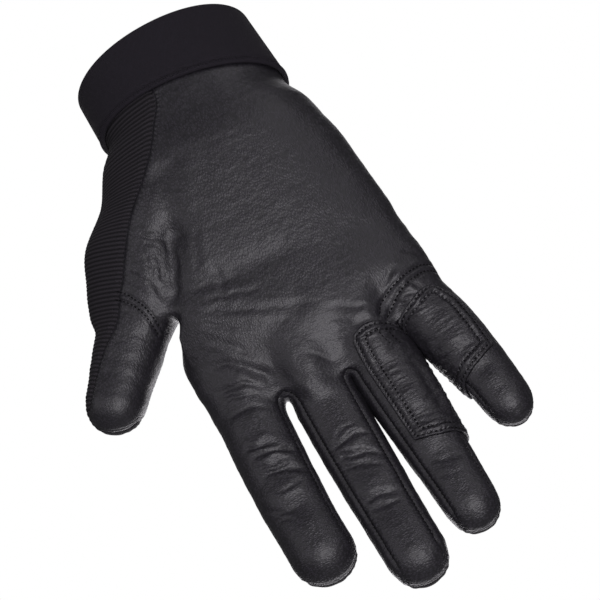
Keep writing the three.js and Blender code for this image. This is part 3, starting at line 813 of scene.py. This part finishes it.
def away_from(places, targets):
    """Distance of each place to the nearest of the targets, worked out in blocks"""
    nearest = np.empty(len(places))
    size = (targets**2).sum(1)
    step = 4000
    for start in range(0, len(places), step):
        block = places[start : start + step]
        square = (block**2).sum(1)[:, None] - 2 * block @ targets.T + size
        nearest[start : start + step] = square.min(1)
    return np.sqrt(np.maximum(nearest, 0))


web_points = np.concatenate([*webs, thumb_web])
near_web = away_from(points, web_points)
rows_joined = np.concatenate([palm[-1], hand[-1]])
near_join = away_from(points, rows_joined)
weight = SOFTEN * np.maximum(smooth(1 - near_web / WEB_SOFT), JOIN_SHARE * smooth(1 - near_join / JOIN_SOFT))
points = relax(points, weight, SOFTEN_ROUNDS)
normals = point_normals(points, all_quads)

# How far along the glove each point lies, counted in rows
rib_row = np.zeros(len(points))
hand_rows = index["hand"].shape[0]
rib_row[index["hand"]] = (np.arange(hand_rows) - TUCK_ROWS)[:, None]
rib_row[index["palm"]] = (np.arange(index["palm"].shape[0]) + HAND_RIBS * RIB_ROWS)[:, None]
for digit in DIGITS:
    before = HAND_RIBS * RIB_ROWS + (0 if digit["name"] == "thumb" else PALM_RIBS * RIB_ROWS)
    rib_row[index[digit["name"]]] = (np.arange(index[digit["name"]].shape[0]) + before)[:, None]


def rib_turns(places):
    """The phase of the knit's ribs, in ribs: they lie level, and they lean where the knit wraps the
    thumb's side, more so from a little way below the cuff"""
    beyond = LEAN_SOFT * np.log1p(np.exp((LEAN_FROM - places[:, 0]) / LEAN_SOFT))
    lean = -RIB_LEAN * beyond * smooth((-places[:, 2] - LEAN_BELOW) / LEAN_GROWS)
    return -(places[:, 2] + lean) / RIB_PITCH


# Panels

PANELS = {name: [] for name in ("palm_leather", "back_knit", "thumb_front")}
PANELS["palm_leather"] += [
    index["hand"][:, : LEATHER_END + 1],
    index["palm"][:, : BACK_START + 1],
    index["palm"][:, BACK_END:],
]
PANELS["back_knit"] += [index["hand"][:, LEATHER_END:], index["palm"][:, BACK_START : BACK_END + 1]]
PANELS["thumb_front"] += [index["thumb"][:, : FRONT + SIDE + 1]]
PANELS["back_knit"] += [index["thumb"][:, FRONT + SIDE :]]
BETWEEN = ["fourchette_index_middle", "fourchette_middle_ring", "fourchette_ring_little"]
PANELS.update({name: [] for name in BETWEEN})
for finger, digit in enumerate(DIGITS[1:]):
    numbers = index[digit["name"]]
    right, left = numbers[:, FRONT : FRONT + SIDE + 1], numbers[:, 2 * FRONT + SIDE :]
    PANELS["palm_leather"].append(numbers[:, : FRONT + 1])
    PANELS["back_knit"].append(numbers[:, FRONT + SIDE : 2 * FRONT + SIDE + 1])
    for strip, between in ((left, finger - 1), (right, finger)):
        if 0 <= between < 3:
            PANELS[BETWEEN[between]].append(strip)
        else:
            PANELS["palm_leather"].append(strip)


def crease_rise(places, outward):
    """Sum over the creases and seam lines: a sharp valley on each line, a soft swelling on both sides of
    it, fading towards its ends. The lines waver a little, and only the front is creased."""
    flat = places[:, [0, 2]]
    waver = np.stack([relief(places, WAVER_LENGTH, seed) for seed in (3, 4)], -1)
    facing = smooth((-outward[:, 1] - 0.05) / 0.4)
    rise = np.zeros(len(places))
    lines = [
        (line_between(np.array([x, -down]), np.array([to_x, -to_down]), bend), width, deep, WAVER)
        for x, down, to_x, to_down, bend, width, deep in CREASES
    ]
    lines += [
        (np.array(line, float) * (1, -1), SEAM_LINE_WIDE, SEAM_LINE_DEEP, 0) for line in SEAMS.values()
    ]
    for line, width, deep, sway in lines:
        moved = flat + waver * sway
        margin = CREASE_MARGIN * width
        inside = ((moved > line.min(0) - margin) & (moved < line.max(0) + margin)).all(1) & (facing > 0)
        near = np.where(inside)[0]
        away, along = nearest_on(line, moved[near])
        fade = smooth(along / CREASE_FADE) * smooth((1 - along) / CREASE_FADE) if sway else 1
        valley = -bell(away, width)
        swelling = SWELL_HIGH * bell(away - SWELL_AWAY * width, SWELL_WIDE * width)
        rise[near] += deep * fade * (valley + swelling)
    return rise * facing


def rim_points(grids_of_numbers):
    """The numbers of the points on a panel's open edge: those of the edges that only one face has"""
    quads = np.concatenate([quads_of(numbers) for numbers in grids_of_numbers])
    edges = np.concatenate([quads[:, [0, 1]], quads[:, [1, 2]], quads[:, [2, 3]], quads[:, [3, 0]]])
    edges = np.sort(edges[edges[:, 0] != edges[:, 1]], axis=1)
    found, count = np.unique(edges, axis=0, return_counts=True)
    return np.unique(found[count == 1])


def faces_list(quads):
    """Faces for a mesh: whole quads, and triangles where two corners of a quad are one point"""
    same = quads == np.roll(quads, -1, axis=1)
    whole = quads[~same.any(axis=1)]
    thin = quads[same.sum(axis=1) == 1]
    kept = ~same[same.sum(axis=1) == 1]
    return [*whole.tolist(), *thin[kept].reshape(-1, 3).tolist()]


def make_object(name, places, faces, material, values=None):
    """A mesh object from places in millimetres, with smooth faces and named values at its points"""
    mesh = bpy.data.meshes.new(name)
    mesh.from_pydata((places * MM).tolist(), [], faces)
    mesh.polygons.foreach_set("use_smooth", np.ones(len(mesh.polygons), bool))
    for key, numbers in (values or {}).items():
        layer = mesh.attributes.new(key, "FLOAT", "POINT")
        layer.data.foreach_set("value", np.asarray(numbers, np.float32))
    mesh.materials.append(material)
    made = bpy.data.objects.new(name, mesh)
    bpy.context.scene.collection.objects.link(made)
    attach(made, "root")
    return made


# Materials


def colour(code):
    """A linear colour from the hexadecimal digits of its display colour"""
    parts = [int(code[i : i + 2], 16) / 255 for i in (0, 2, 4)]
    linear = [part / 12.92 if part <= 0.04045 else ((part + 0.055) / 1.055) ** 2.4 for part in parts]
    return (*linear, 1.0)


def node(tree, kind, settings=None, **links):
    """Adds a node, sets its properties, and fills its inputs with constants or links"""
    made = tree.nodes.new(kind)
    for key, value in (settings or {}).items():
        setattr(made, key, value)
    for key, value in links.items():
        socket = made.inputs[int(key[1:])] if key[1:].isdigit() else made.inputs[key.replace("_", " ")]
        if isinstance(value, bpy.types.NodeSocket):
            tree.links.new(value, socket)
        else:
            socket.default_value = value
    return made


def new_material(name):
    """A material with nothing but a shader linked to its output"""
    material = bpy.data.materials.new(name)
    material.use_nodes = True
    tree = material.node_tree
    tree.nodes.clear()
    shader = node(tree, "ShaderNodeBsdfPrincipled")
    output = node(tree, "ShaderNodeOutputMaterial")
    tree.links.new(shader.outputs["BSDF"], output.inputs["Surface"])
    return material, tree, shader


def finish(tree, shader, factor, dark, light, rough, shine, height=None, deep=0):
    """Gives a shader a colour between two by a factor, its roughness and shine, and a relief"""
    tint = node(tree, "ShaderNodeMix", {"data_type": "RGBA"}, _0=factor, _6=colour(dark), _7=colour(light))
    tree.links.new(tint.outputs[2], shader.inputs["Base Color"])
    shader.inputs["Roughness"].default_value = rough
    shader.inputs["Specular IOR Level"].default_value = shine
    if height is not None:
        bump = node(tree, "ShaderNodeBump", Strength=1.0, Distance=deep * MM, Height=height)
        tree.links.new(bump.outputs["Normal"], shader.inputs["Normal"])


# Where the leather's grain changes, below the cuff's mouth
SMOOTH_END = 38
GRAIN_START = 68
PALM_END = 125
FINGER_START = 165
# A pebble of the grain, the grain's depth, and how far its lines bend
GRAIN = 0.75
GRAIN_DEEP = 0.085
GRAIN_BEND = 1.2
# The grain's stretch on the palm and on the fingers, as factors on the place
STRETCHES = ((1.0, 0.9, 0.6), (0.55, 0.8, 1.15))
LEATHER_ROUGH = 0.49


def leather_material(name, dark, light):
    """Soft glove leather, dyed through. Its fine pebbled grain breaks the shine into small glints: cell
    distances for the pebbles and a noise for the pores, drawn out along the palm and across the fingers,
    and pressed flat near the cuff. The base colour also carries painted shade: darker in the grain's
    hollows and lighter on its pebbles."""
    material, tree, shader = new_material(name)
    place = node(tree, "ShaderNodeTexCoord").outputs["Object"]
    height_up = node(tree, "ShaderNodeSeparateXYZ", Vector=place).outputs["Z"]
    fingers = node(
        tree, "ShaderNodeMapRange", Value=height_up, From_Min=-PALM_END * MM, From_Max=-FINGER_START * MM
    ).outputs["Result"]
    flat = node(
        tree, "ShaderNodeMapRange", Value=height_up,
        From_Min=-SMOOTH_END * MM, From_Max=-GRAIN_START * MM, To_Min=0.2,
    ).outputs["Result"]
    bent = node(tree, "ShaderNodeTexNoise", Vector=place, Scale=1 / (5 * MM), Detail=2.0).outputs["Color"]
    moved = node(
        tree, "ShaderNodeVectorMath", {"operation": "MULTIPLY_ADD"},
        _0=bent, _1=(GRAIN_BEND * MM,) * 3, _2=place,
    ).outputs[0]
    heights = []
    for stretch in STRETCHES:
        drawn = node(
            tree, "ShaderNodeVectorMath", {"operation": "MULTIPLY"}, _0=moved, _1=stretch
        ).outputs[0]
        cells = node(
            tree, "ShaderNodeTexVoronoi", Vector=drawn, Scale=1 / (GRAIN * MM), Randomness=0.8
        ).outputs["Distance"]
        pebble = node(
            tree, "ShaderNodeMapRange", {"interpolation_type": "SMOOTHSTEP"}, Value=cells,
            From_Min=0.05, From_Max=0.75, To_Min=1.0, To_Max=0.0,
        ).outputs["Result"]
        streak = node(
            tree, "ShaderNodeTexNoise", Vector=drawn, Scale=1 / (1.7 * GRAIN * MM), Detail=2.0
        ).outputs["Fac"]
        added = node(tree, "ShaderNodeMath", {"operation": "MULTIPLY_ADD"}, _0=streak, _1=0.35, _2=pebble)
        heights.append(added.outputs[0])
    grain = node(
        tree, "ShaderNodeMix", {"data_type": "FLOAT"}, _0=fingers, _2=heights[0], _3=heights[1]
    ).outputs[0]
    fine = node(
        tree, "ShaderNodeTexNoise", Vector=place, Scale=1 / (0.45 * MM), Detail=3.0, Roughness=0.6
    ).outputs["Fac"]
    broad = node(tree, "ShaderNodeTexNoise", Vector=place, Scale=1 / (15 * MM), Detail=2.0).outputs["Fac"]
    uneven = node(
        tree, "ShaderNodeMapRange", Value=broad, From_Min=0.35, From_Max=0.65, To_Min=0.85, To_Max=1.05
    ).outputs["Result"]
    whole = node(tree, "ShaderNodeMath", {"operation": "MULTIPLY_ADD"}, _0=fine, _1=0.2, _2=grain)
    strength = node(tree, "ShaderNodeMath", {"operation": "MULTIPLY"}, _0=uneven, _1=flat).outputs[0]
    height = node(tree, "ShaderNodeMath", {"operation": "MULTIPLY"}, _0=whole.outputs[0], _1=strength)
    # Painted shade: by the grain's height, the base colour goes darker in the grain's hollows and lighter on
    # its pebbles
    painted_grain_shade = node(tree, "ShaderNodeMapRange", Value=grain, From_Min=0.25, From_Max=1.15).outputs["Result"]
    finish(tree, shader, painted_grain_shade, dark, light, LEATHER_ROUGH, 0.28, height.outputs[0], GRAIN_DEEP)
    worn = node(
        tree, "ShaderNodeMapRange", Value=fine,
        From_Min=0.3, From_Max=0.7, To_Min=LEATHER_ROUGH - 0.03, To_Max=LEATHER_ROUGH + 0.03,
    )
    tree.links.new(worn.outputs["Result"], shader.inputs["Roughness"])
    return material


def rib_material():
    """Ribbed stretch knit. Fine stitches make it matt. A cosine of the rib's phase paints shade into the
    colour, darker in the valleys between ribs and lighter on their tops, and with a fuzz of noise drives
    the relief."""
    material, tree, shader = new_material("Stretch knit, ribbed and dyed black")
    row = node(tree, "ShaderNodeAttribute", {"attribute_name": "rib"}).outputs["Fac"]
    turn = node(tree, "ShaderNodeMath", {"operation": "MULTIPLY"}, _0=row, _1=2 * math.pi).outputs[0]
    wave = node(tree, "ShaderNodeMath", {"operation": "COSINE"}, _0=turn).outputs[0]
    place = node(tree, "ShaderNodeTexCoord").outputs["Object"]
    fuzz = node(
        tree, "ShaderNodeTexNoise", Vector=place, Scale=1 / (0.45 * MM), Detail=3.0, Roughness=0.7
    ).outputs["Fac"]
    height = node(tree, "ShaderNodeMath", {"operation": "MULTIPLY_ADD"}, _0=fuzz, _1=1.2, _2=wave)
    # Painted shade: the colour goes from dark in the valleys between ribs to lighter on the rib tops
    top = node(tree, "ShaderNodeMapRange", Value=wave, From_Min=-1.0, From_Max=0.8).outputs["Result"]
    finish(tree, shader, top, "080709", "1c1a1d", 0.9, 0.12, height.outputs[0], 0.1)
    return material


def elastic_material():
    """Fine elastic knit. Its loops are too small to see, so it looks matt and even, with a little fuzz."""
    material, tree, shader = new_material("Elastic knit, fine, dyed black")
    place = node(tree, "ShaderNodeTexCoord").outputs["Object"]
    fuzz = node(
        tree, "ShaderNodeTexNoise", Vector=place, Scale=1 / (0.6 * MM), Detail=3.0, Roughness=0.75
    ).outputs["Fac"]
    finish(tree, shader, fuzz, "070608", "1d1a20", 0.9, 0.12, fuzz, 0.4)
    return material


def thread_material():
    """Bonded polyester thread: twisted, with a soft dull shine and darker between its strands."""
    material, tree, shader = new_material("Sewing thread, polyester, dyed black")
    place = node(tree, "ShaderNodeTexCoord").outputs["Object"]
    twist = node(tree, "ShaderNodeTexNoise", Vector=place, Scale=1 / (0.3 * MM), Detail=1.0).outputs["Fac"]
    finish(tree, shader, twist, "020202", "0b0a0c", 0.8, 0.06)
    return material


glove_leather = leather_material("Nappa glove leather, dyed black", "0d0c0f", "1b191e")
patch_leather = leather_material("Reinforcement leather, dyed black", "0d0c0f", "19171c")
ribbed_knit = rib_material()
elastic_knit = elastic_material()
thread = thread_material()

# Meshes

# The groove at a panel's seams, which gets shallower near the fingertips, and the leather's swelling
# beside it
SEAM_DEEP = 0.9
SEAM_WIDE = 0.95
TIP_SHALLOW = 0.75
TIP_REACH = 12
PUFF = 0.12
PUFF_AWAY = 3
PUFF_WIDE = 1.8
# The thread draws small puckers in beside the groove, weaker in the strips between the fingers
PUCKER = 0.17
PUCKER_AWAY = 1.4
PUCKER_WIDE = 1.1
STRIP_PUCKER = 0.4
STRIP_SUNK = 0.3
# Ribs, sinking strips and creases start this far from a seam
RIB_FADE = 0.8
STRIP_FADE = 3
CREASE_AWAY = 2
RIB_DEEP = 0.11
# The leather's unevenness: height and length of its waves
SOFT_RELIEF = (0.05, 11)
FINE_RELIEF = (0.025, 3.4)
# The inner face stays clear of the grooves by this share of their depth
CLEAR = 0.6
# Panels that meet without a groove: rows of stitches mark the seam there
FLUSH = [("palm_leather", "thumb_front")]

tip_points = np.concatenate([grids[digit["name"]][-1] for digit in DIGITS])


def panel_rise(name, numbers, away):
    """How far a panel stands out of the surface at points a distance away from its seams: a groove and
    a swelling as bell curves of that distance, then ribs for the knit, puckers and creases for leather"""
    here = points[numbers]
    shallow = 1 - TIP_SHALLOW * smooth(1 - away_from(here, tip_points) / TIP_REACH)
    rise = -SEAM_DEEP * shallow * bell(away, SEAM_WIDE) + PUFF * bell(away - PUFF_AWAY, PUFF_WIDE)
    if name == "back_knit":
        return rise + RIB_DEEP * np.cos(2 * np.pi * rib_turns(here)) * smooth(away / RIB_FADE)
    pucker = PUCKER * np.cos(2 * np.pi * rib_row[numbers] / RIB_ROWS) * bell(away - PUCKER_AWAY, PUCKER_WIDE)
    if name in BETWEEN:
        rise -= STRIP_PUCKER * pucker + STRIP_SUNK * smooth(away / STRIP_FADE)
    else:
        rise -= pucker
    rise += crease_rise(here, normals[numbers]) * smooth(away / CREASE_AWAY)
    for seed, (high, length) in enumerate((SOFT_RELIEF, FINE_RELIEF), 1):
        rise += high * relief(here, length, seed)
    return rise


def add_panel(name, material):
    """A panel: its points lie on the glove's surface, sink into a groove at its seams, and its inner
    face, with fewer faces, lies a wall's thickness below."""
    joined = next((group for group in FLUSH if name in group), (name,))
    rim = rim_points([grid for other in joined for grid in PANELS[other]])
    outer_quads = np.concatenate([quads_of(grid) for grid in PANELS[name]])
    inner_quads = np.concatenate([quads_of(grid[::RIB_ROWS, ::2]) for grid in PANELS[name]])
    used, outer_faces = np.unique(outer_quads, return_inverse=True)
    inner_used, inner_faces = np.unique(inner_quads, return_inverse=True)
    rise = panel_rise(name, used, away_from(points[used], points[rim]))
    depth = WALL * smooth((rib_row[inner_used] + TUCK_ROWS) / RIB_ROWS) + CLEAR * SEAM_DEEP
    outer = points[used] + normals[used] * rise[:, None]
    inner = points[inner_used] - normals[inner_used] * depth[:, None]
    flipped = inner_faces.reshape(-1, 4)[:, ::-1] + len(outer)
    faces = faces_list(np.concatenate([outer_faces.reshape(-1, 4), flipped]))
    rib = rib_turns(points[np.concatenate([used, inner_used])])
    made = make_object(name + "_skin", np.concatenate([outer, inner]), faces, material, {"rib": rib})
    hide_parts(name)


add_panel("palm_leather", glove_leather)
add_panel("back_knit", ribbed_knit)
add_panel("thumb_front", glove_leather)
for name in BETWEEN:
    add_panel(name, glove_leather)


def stitches(places, outward, pitch, length, thick, across=False):
    """Stitches along a line of places: rounded threads, evenly spaced, that lie along the line or stand
    across it. Each is a tube whose radius follows a half circle and whose ends dip into the leather."""
    line = evenly(np.concatenate([places, outward], -1), pitch)
    middle = (line[1:] + line[:-1]) / 2
    along = unit(line[1:, :3] - line[:-1, :3])
    up = unit(middle[:, 3:] - (middle[:, 3:] * along).sum(-1, keepdims=True) * along)
    side = np.cross(along, up)
    if across:
        along, side = side, along
    sides = 6
    turn = np.arange(sides) * 2 * np.pi / sides
    at = np.array([-1, -0.86, -0.45, 0.45, 0.86, 1])
    radius = thick / 2 * np.array([0.05, 0.7, 1, 1, 0.7, 0.05])
    sag = -0.45 * thick * at**2
    shape = (
        along[:, None, None] * (at * length / 2)[:, None, None]
        + side[:, None, None] * (radius[:, None] * np.cos(turn))[..., None]
        + up[:, None, None] * (radius[:, None] * np.sin(turn) + sag[:, None])[..., None]
    )
    vertices = (middle[:, None, None, :3] + shape).reshape(-1, 3)
    ring = np.arange(len(at) * sides).reshape(len(at), sides)
    start = ring.size * np.arange(len(middle))[:, None, None]
    faces = (quads_of(np.concatenate([ring, ring[:, :1]], axis=1)) + start).reshape(-1, 4)
    ends = np.concatenate([(ring[0][None, ::-1] + start[:, 0]), (ring[-1][None] + start[:, 0])])
    return vertices, [*faces.tolist(), *ends.tolist()]


def add_stitches(name, rows, material):
    """One object from several rows of stitches"""
    vertices, faces, count = [], [], 0
    for row_vertices, row_faces in rows:
        vertices.append(row_vertices)
        faces += [[corner + count for corner in face] for face in row_faces]
        count += len(row_vertices)
    made = make_object(name, np.concatenate(vertices), faces, material)


# Surface points that face forward at least this much, and the square of the bell's width
FRONT_FACING = -0.1
BLUR = 0.5


def on_front(flat):
    """Places on the front of the glove over flat places: the mean of the near surface points, weighted
    by a bell curve of their flat distance"""
    front = normals[:, 1] < FRONT_FACING
    near, near_normals = points[front], normals[front]
    gap = ((flat[:, None] - near[None, :, [0, 2]]) ** 2).sum(-1)
    weight = np.exp(-gap / BLUR) + 1e-12
    weight /= weight.sum(1, keepdims=True)
    return weight @ near, unit(weight @ near_normals)


def sheet_of(finger, above):
    """Point numbers of a finger's left side, front and right side, with rows of the palm above them"""
    number = FINGERS.index(finger)
    digit_numbers, palm_numbers = index[finger], index["palm"]
    columns = np.arange(-SIDE, FRONT + SIDE + 1)
    last = FRONT + (SIDE if number == 3 else 0)
    upper = palm_numbers[-1 - above : -1, np.clip(columns, 0, last) + number * FRONT]
    lower = digit_numbers[:, columns % (digit_numbers.shape[1] - 1)]
    return np.concatenate([upper, lower])


def on_sheet(sheet, above, share, down):
    """Places and outward directions on a finger, between its grid points: share is across its front,
    down is in millimetres below its root"""
    on_front_share = np.clip(share, 0, 1)
    column = on_front_share * FRONT + (share - on_front_share) * SIDE
    column = np.clip(column + SIDE, 0, sheet.shape[1] - 1.001)
    row = np.clip(down * RIB_ROWS / RIB_PITCH + above, 0, sheet.shape[0] - 1.001)
    i, j = row.astype(int), column.astype(int)
    found = []
    for values in (points, normals):
        grid = values[sheet]
        left = mix(grid[i, j], grid[i + 1, j], (row - i)[..., None])
        right = mix(grid[i, j + 1], grid[i + 1, j + 1], (row - i)[..., None])
        found.append(mix(left, right, (column - j)[..., None]))
    return found[0], unit(found[1])


FINGERS = ["index", "middle", "ring", "little"]
# Rows of the palm above a finger's root that a patch may reach over
ABOVE = 24
# The patch's own wrinkles, stretched along and across, and its unevenness: height and length of the
# waves. Both start this far from its edge. The underside lies just above the glove.
WRINKLES = (0.1, 3.0)
WRINKLE_STRETCH = (0.3, 1, 1.7)
PATCH_RELIEF = (0.04, 9)
WRINKLE_IN = 2
UNDER_CLEAR = 0.02
# Where the leather stands up in a ridge: its height and half width, the valley beside it, how far off
# that lies, and the lengths over which both start and end
RIDGE_HIGH = 0.7
RIDGE_WIDE = 0.09
VALLEY_DEEP = 0.35
VALLEY_WIDE = 0.07
VALLEY_AWAY = 0.19
RIDGE_GROWS = 8
RIDGE_ENDS = 6
# Spacing of the places along a line of stitches, before it is cut into stitches
ROW_STEP = 0.5
SEAM_STEP = 0.6


def length_of(places):
    """The length of a line of places"""
    return np.linalg.norm(np.diff(places, axis=0), axis=1).sum()


def add_patch(name, finger, left, right, top, bottom, sewn, short, ridge):
    """A reinforcement patch: a leather sheet whose edge is a quarter ellipse, sunk along two rows of
    stitches by bell curves, each stitch in its own dimple, and its rows of stitches"""
    sheet = sheet_of(finger, ABOVE)

    def place(u, v):
        share = mix(mix(left[0], left[1], v), mix(right[0], right[1], v), u)
        upper = np.interp(share, *np.array(top).T)
        lower = np.interp(share, *np.array(bottom).T)
        return on_sheet(sheet, ABOVE, share, mix(upper, lower, v))

    wide = length_of(place(np.linspace(0, 1, 60), np.full(60, 0.5))[0])
    long = length_of(place(np.full(60, 0.3), np.linspace(0, 1, 60))[0])
    u, v = np.meshgrid(*(np.linspace(0, 1, round(size / PATCH_STEP)) for size in (wide, long)))
    base, outward = place(u, v)
    flat = base.reshape(-1, 3)
    inward = np.minimum(wide * np.minimum(u, 1 - u), long * np.minimum(v, 1 - v))
    edge = PATCH_RISE * np.sqrt(1 - (1 - np.clip(inward / PATCH_EDGE, 0, 1)) ** 2)
    dimple = (0.5 + 0.5 * np.cos(2 * np.pi * (wide * u + long * v) / STITCH_PITCH)) ** 2
    sunk = sum(bell(inward - row, ROW_WIDE) for row in ROWS_IN) * (ROW_DEEP + DIMPLE_DEEP * dimple)
    wrinkles = WRINKLES[0] * relief(flat * WRINKLE_STRETCH, WRINKLES[1], 5)
    soft = PATCH_RELIEF[0] * relief(flat, PATCH_RELIEF[1], 6)
    uneven = (wrinkles + soft).reshape(u.shape) * smooth(inward / WRINKLE_IN)
    if ridge:
        across, start, end = ridge
        aside, down = mix(left[0], right[0], u) - across, long * v
        window = smooth((down - start) / RIDGE_GROWS) * smooth((end - down) / RIDGE_ENDS)
        uneven += window * RIDGE_HIGH * bell(aside, RIDGE_WIDE)
        uneven -= window * VALLEY_DEEP * bell(aside + VALLEY_AWAY, VALLEY_WIDE)
    height = edge - sunk + ROW_SWELL * bell(inward - SWELL_IN, ROW_SWELL_WIDE) + uneven
    outer = base + outward * height[..., None]
    inner = base + outward * UNDER_CLEAR
    grid = np.arange(u.size).reshape(u.shape)
    under = grid + u.size
    under[0], under[-1], under[:, 0], under[:, -1] = grid[0], grid[-1], grid[:, 0], grid[:, -1]
    quads = np.concatenate([quads_of(grid), quads_of(under)[:, ::-1]])
    kept, numbers = np.unique(quads, return_inverse=True)
    places = np.concatenate([outer.reshape(-1, 3), inner.reshape(-1, 3)])[kept]
    made = make_object(name + "_leather", places, numbers.reshape(-1, 4).tolist(), patch_leather)
    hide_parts(name)

    def row_along(corners, height):
        line = evenly(np.array(corners, float) * (wide, long), ROW_STEP) / (wide, long)
        at, out = place(line[:, 0], line[:, 1])
        return stitches(at + out * height, out, STITCH_PITCH, STITCH_LENGTH, STITCH_THICK)

    rows = []
    for path in sewn:
        for row in ROWS_IN:
            across = {"in": row / wide, "out": 1 - row / wide}
            down = {"in": row / long, "out": 1 - row / long}
            corners = [(across.get(a, a), down.get(b, b)) for a, b in path]
            rows.append(row_along(corners, PATCH_RISE - PATCH_SUNK))
    rows += [row_along(ends, PATCH_RISE) for ends in short]
    add_stitches(name + "_stitches", rows, thread)


for name, patch in PATCHES.items():
    add_patch(name, **patch)

# Stitches along the strips between the fingers: the finger, the column of its front, and how far below
# its root they come out from under a patch
SEWN_EDGES = [
    ("index", FRONT - 1, 4),
    ("middle", 1, 4),
    ("middle", FRONT - 1, 4),
    ("ring", 1, 4),
    ("ring", FRONT - 1, 52),
    ("little", 1, 43),
]

seam_rows = []
for line in SEAMS.values():
    at, out = on_front(evenly(np.array(line, float) * (1, -1), SEAM_STEP))
    seam_rows.append(stitches(at - out * LINE_SUNK, out, STITCH_PITCH, STITCH_LENGTH, STITCH_THICK))
for finger, column, from_down in SEWN_EDGES:
    first_row = round(from_down * RIB_ROWS / RIB_PITCH)
    edge = index[finger][first_row : tips[finger] + RIB_ROWS, column]
    sewn = points[edge] - normals[edge] * EDGE_SUNK
    seam_rows.append(stitches(sewn, normals[edge], STITCH_PITCH, STITCH_LENGTH, EDGE_THICK))
add_stitches("seam_stitches", seam_rows, thread)


# The ticks round the cuff's lower edge: how high above it they lie, their pitch, length and thickness,
# and how far their middles stand out
TICK_UP = 1.7
TICK_PITCH = 0.95
TICK_LENGTH = 1.7
TICK_THICK = 0.7
TICK_PROUD = 0.1
# The hem shows as a shallow groove above the edge
HEM_UP = 3.0
HEM_WIDE = 0.6
HEM_DEEP = 0.3
CUFF_TURNS = 320


def add_cuff():
    """The cuff band: an oval whose wall section goes once round, up outside, over a half circle at the
    mouth, down inside and round a half circle at the edge"""
    angle = np.arange(CUFF_TURNS) / CUFF_TURNS * 360
    radius = CUFF_WALL / 2
    rise = np.linspace(0, 1, 60)
    straight = rise * (1 - 2 * radius / CUFF_HEIGHT) + radius / CUFF_HEIGHT
    bend = np.linspace(0, 180, 9)[1:-1]
    over = radius / CUFF_HEIGHT * (1 - sine(bend))
    up = np.concatenate([straight, 1 - over, straight[::-1], over])
    hem = HEM_DEEP * bell(straight * CUFF_HEIGHT - HEM_UP, HEM_WIDE)
    inward = [hem, radius * (1 - cosine(bend)), CUFF_WALL + 0 * rise, radius * (1 + cosine(bend))]
    rings = cuff_point(angle[None], up[:, None], np.concatenate(inward)[:, None])
    numbers = np.arange(rings.size // 3).reshape(len(up), CUFF_TURNS)
    closed = np.pad(numbers, ((0, 1), (0, 1)), "wrap")
    quads = quads_of(closed)[:, ::-1]
    made = make_object("cuff_band_knit", rings.reshape(-1, 3), quads.tolist(), elastic_knit)
    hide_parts("cuff_band")
    turn = np.linspace(0, 360, 721)
    at = cuff_point(turn, TICK_UP / CUFF_HEIGHT, 0)
    out = unit(at - cuff_point(turn, TICK_UP / CUFF_HEIGHT, 1))
    rows = [stitches(at + out * TICK_PROUD, out, TICK_PITCH, TICK_LENGTH, TICK_THICK, across=True)]
    add_stitches("cuff_band_stitches", rows, elastic_knit)


add_cuff()

# Camera, light, floor

TARGET = Vector((10, -9, -126)) * MM
DISTANCE = 850 * MM
ELEVATION = math.radians(-20)
ROLL = math.radians(25)
SENSOR = 36
LENS = 127.5
back = Vector((0, -math.cos(ELEVATION), math.sin(ELEVATION)))
level = Vector((1, 0, 0))
upright = back.cross(level)
right = math.cos(ROLL) * level - math.sin(ROLL) * upright
top = math.sin(ROLL) * level + math.cos(ROLL) * upright
camera = bpy.data.objects.new("camera", bpy.data.cameras.new("camera"))
camera.data.sensor_width = SENSOR
camera.data.lens = LENS
camera.location = TARGET + back * DISTANCE
camera.rotation_mode = "QUATERNION"
camera.rotation_quaternion = Matrix((right, top, back)).transposed().to_quaternion()
bpy.context.scene.collection.objects.link(camera)
bpy.context.scene.camera = camera


def add_light(name, place, size, power):
    """A soft square light that faces the glove's middle"""
    light = bpy.data.lights.new(name, "AREA")
    light.size = size
    light.energy = power
    light.color = (0.98, 0.95, 1.0)
    made = bpy.data.objects.new(name, light)
    made.location = place
    made.rotation_mode = "QUATERNION"
    made.rotation_quaternion = (Vector(place) - TARGET).to_track_quat("Z", "Y")
    bpy.context.scene.collection.objects.link(made)


# Name, place, side length and power. The camera's own directions place the front lights.
LIGHTS = [
    ("key", TARGET + back * 0.95 + top * 0.08 + right * 0.1, 0.45, 13),
    ("fill", TARGET + back * 0.6 - right * 0.9 + top * 0.1, 0.8, 4),
    ("upper", TARGET + back * 0.45 + top * 1.0 + right * 0.25, 0.6, 3.5),
    ("rear", Vector((0.0, 1.0, -0.5)), 1.0, 14),
    ("overhead", Vector((0.0, 1.1, 1.3)), 2.0, 18),
]
for light in LIGHTS:
    add_light(*light)

# The camera sees a white studio wall, and the glove is lit by a dimmer one
world = bpy.data.worlds.new("white studio")
bpy.context.scene.world = world
world.use_nodes = True
wall = world.node_tree.nodes["Background"]
wall.inputs["Color"].default_value = (1, 1, 1, 1)
seen = node(world.node_tree, "ShaderNodeLightPath").outputs["Is Camera Ray"]
bright = node(world.node_tree, "ShaderNodeMapRange", Value=seen, To_Min=0.15, To_Max=1.0)
world.node_tree.links.new(bright.outputs["Result"], wall.inputs["Strength"])
bpy.context.scene.view_settings.view_transform = "Standard"

# Matt paint, so the floor shows no reflection
floor_material, _, floor_shader = new_material("Plain pale floor, matt paint")
floor_shader.inputs["Base Color"].default_value = colour("e6e6e6")
floor_shader.inputs["Roughness"].default_value = 0.9
floor_mesh = bpy.data.meshes.new("floor")
FLOOR_HALF = 4.0
FLOOR_HEIGHT = -1.6
corner_sides = ((-1, -1), (1, -1), (1, 1), (-1, 1))
floor_corners = [(x * FLOOR_HALF, y * FLOOR_HALF, FLOOR_HEIGHT) for x, y in corner_sides]
floor_mesh.from_pydata(floor_corners, [], [(0, 1, 2, 3)])
floor_mesh.materials.append(floor_material)
floor = bpy.data.objects.new("floor", floor_mesh)
bpy.context.scene.collection.objects.link(floor)
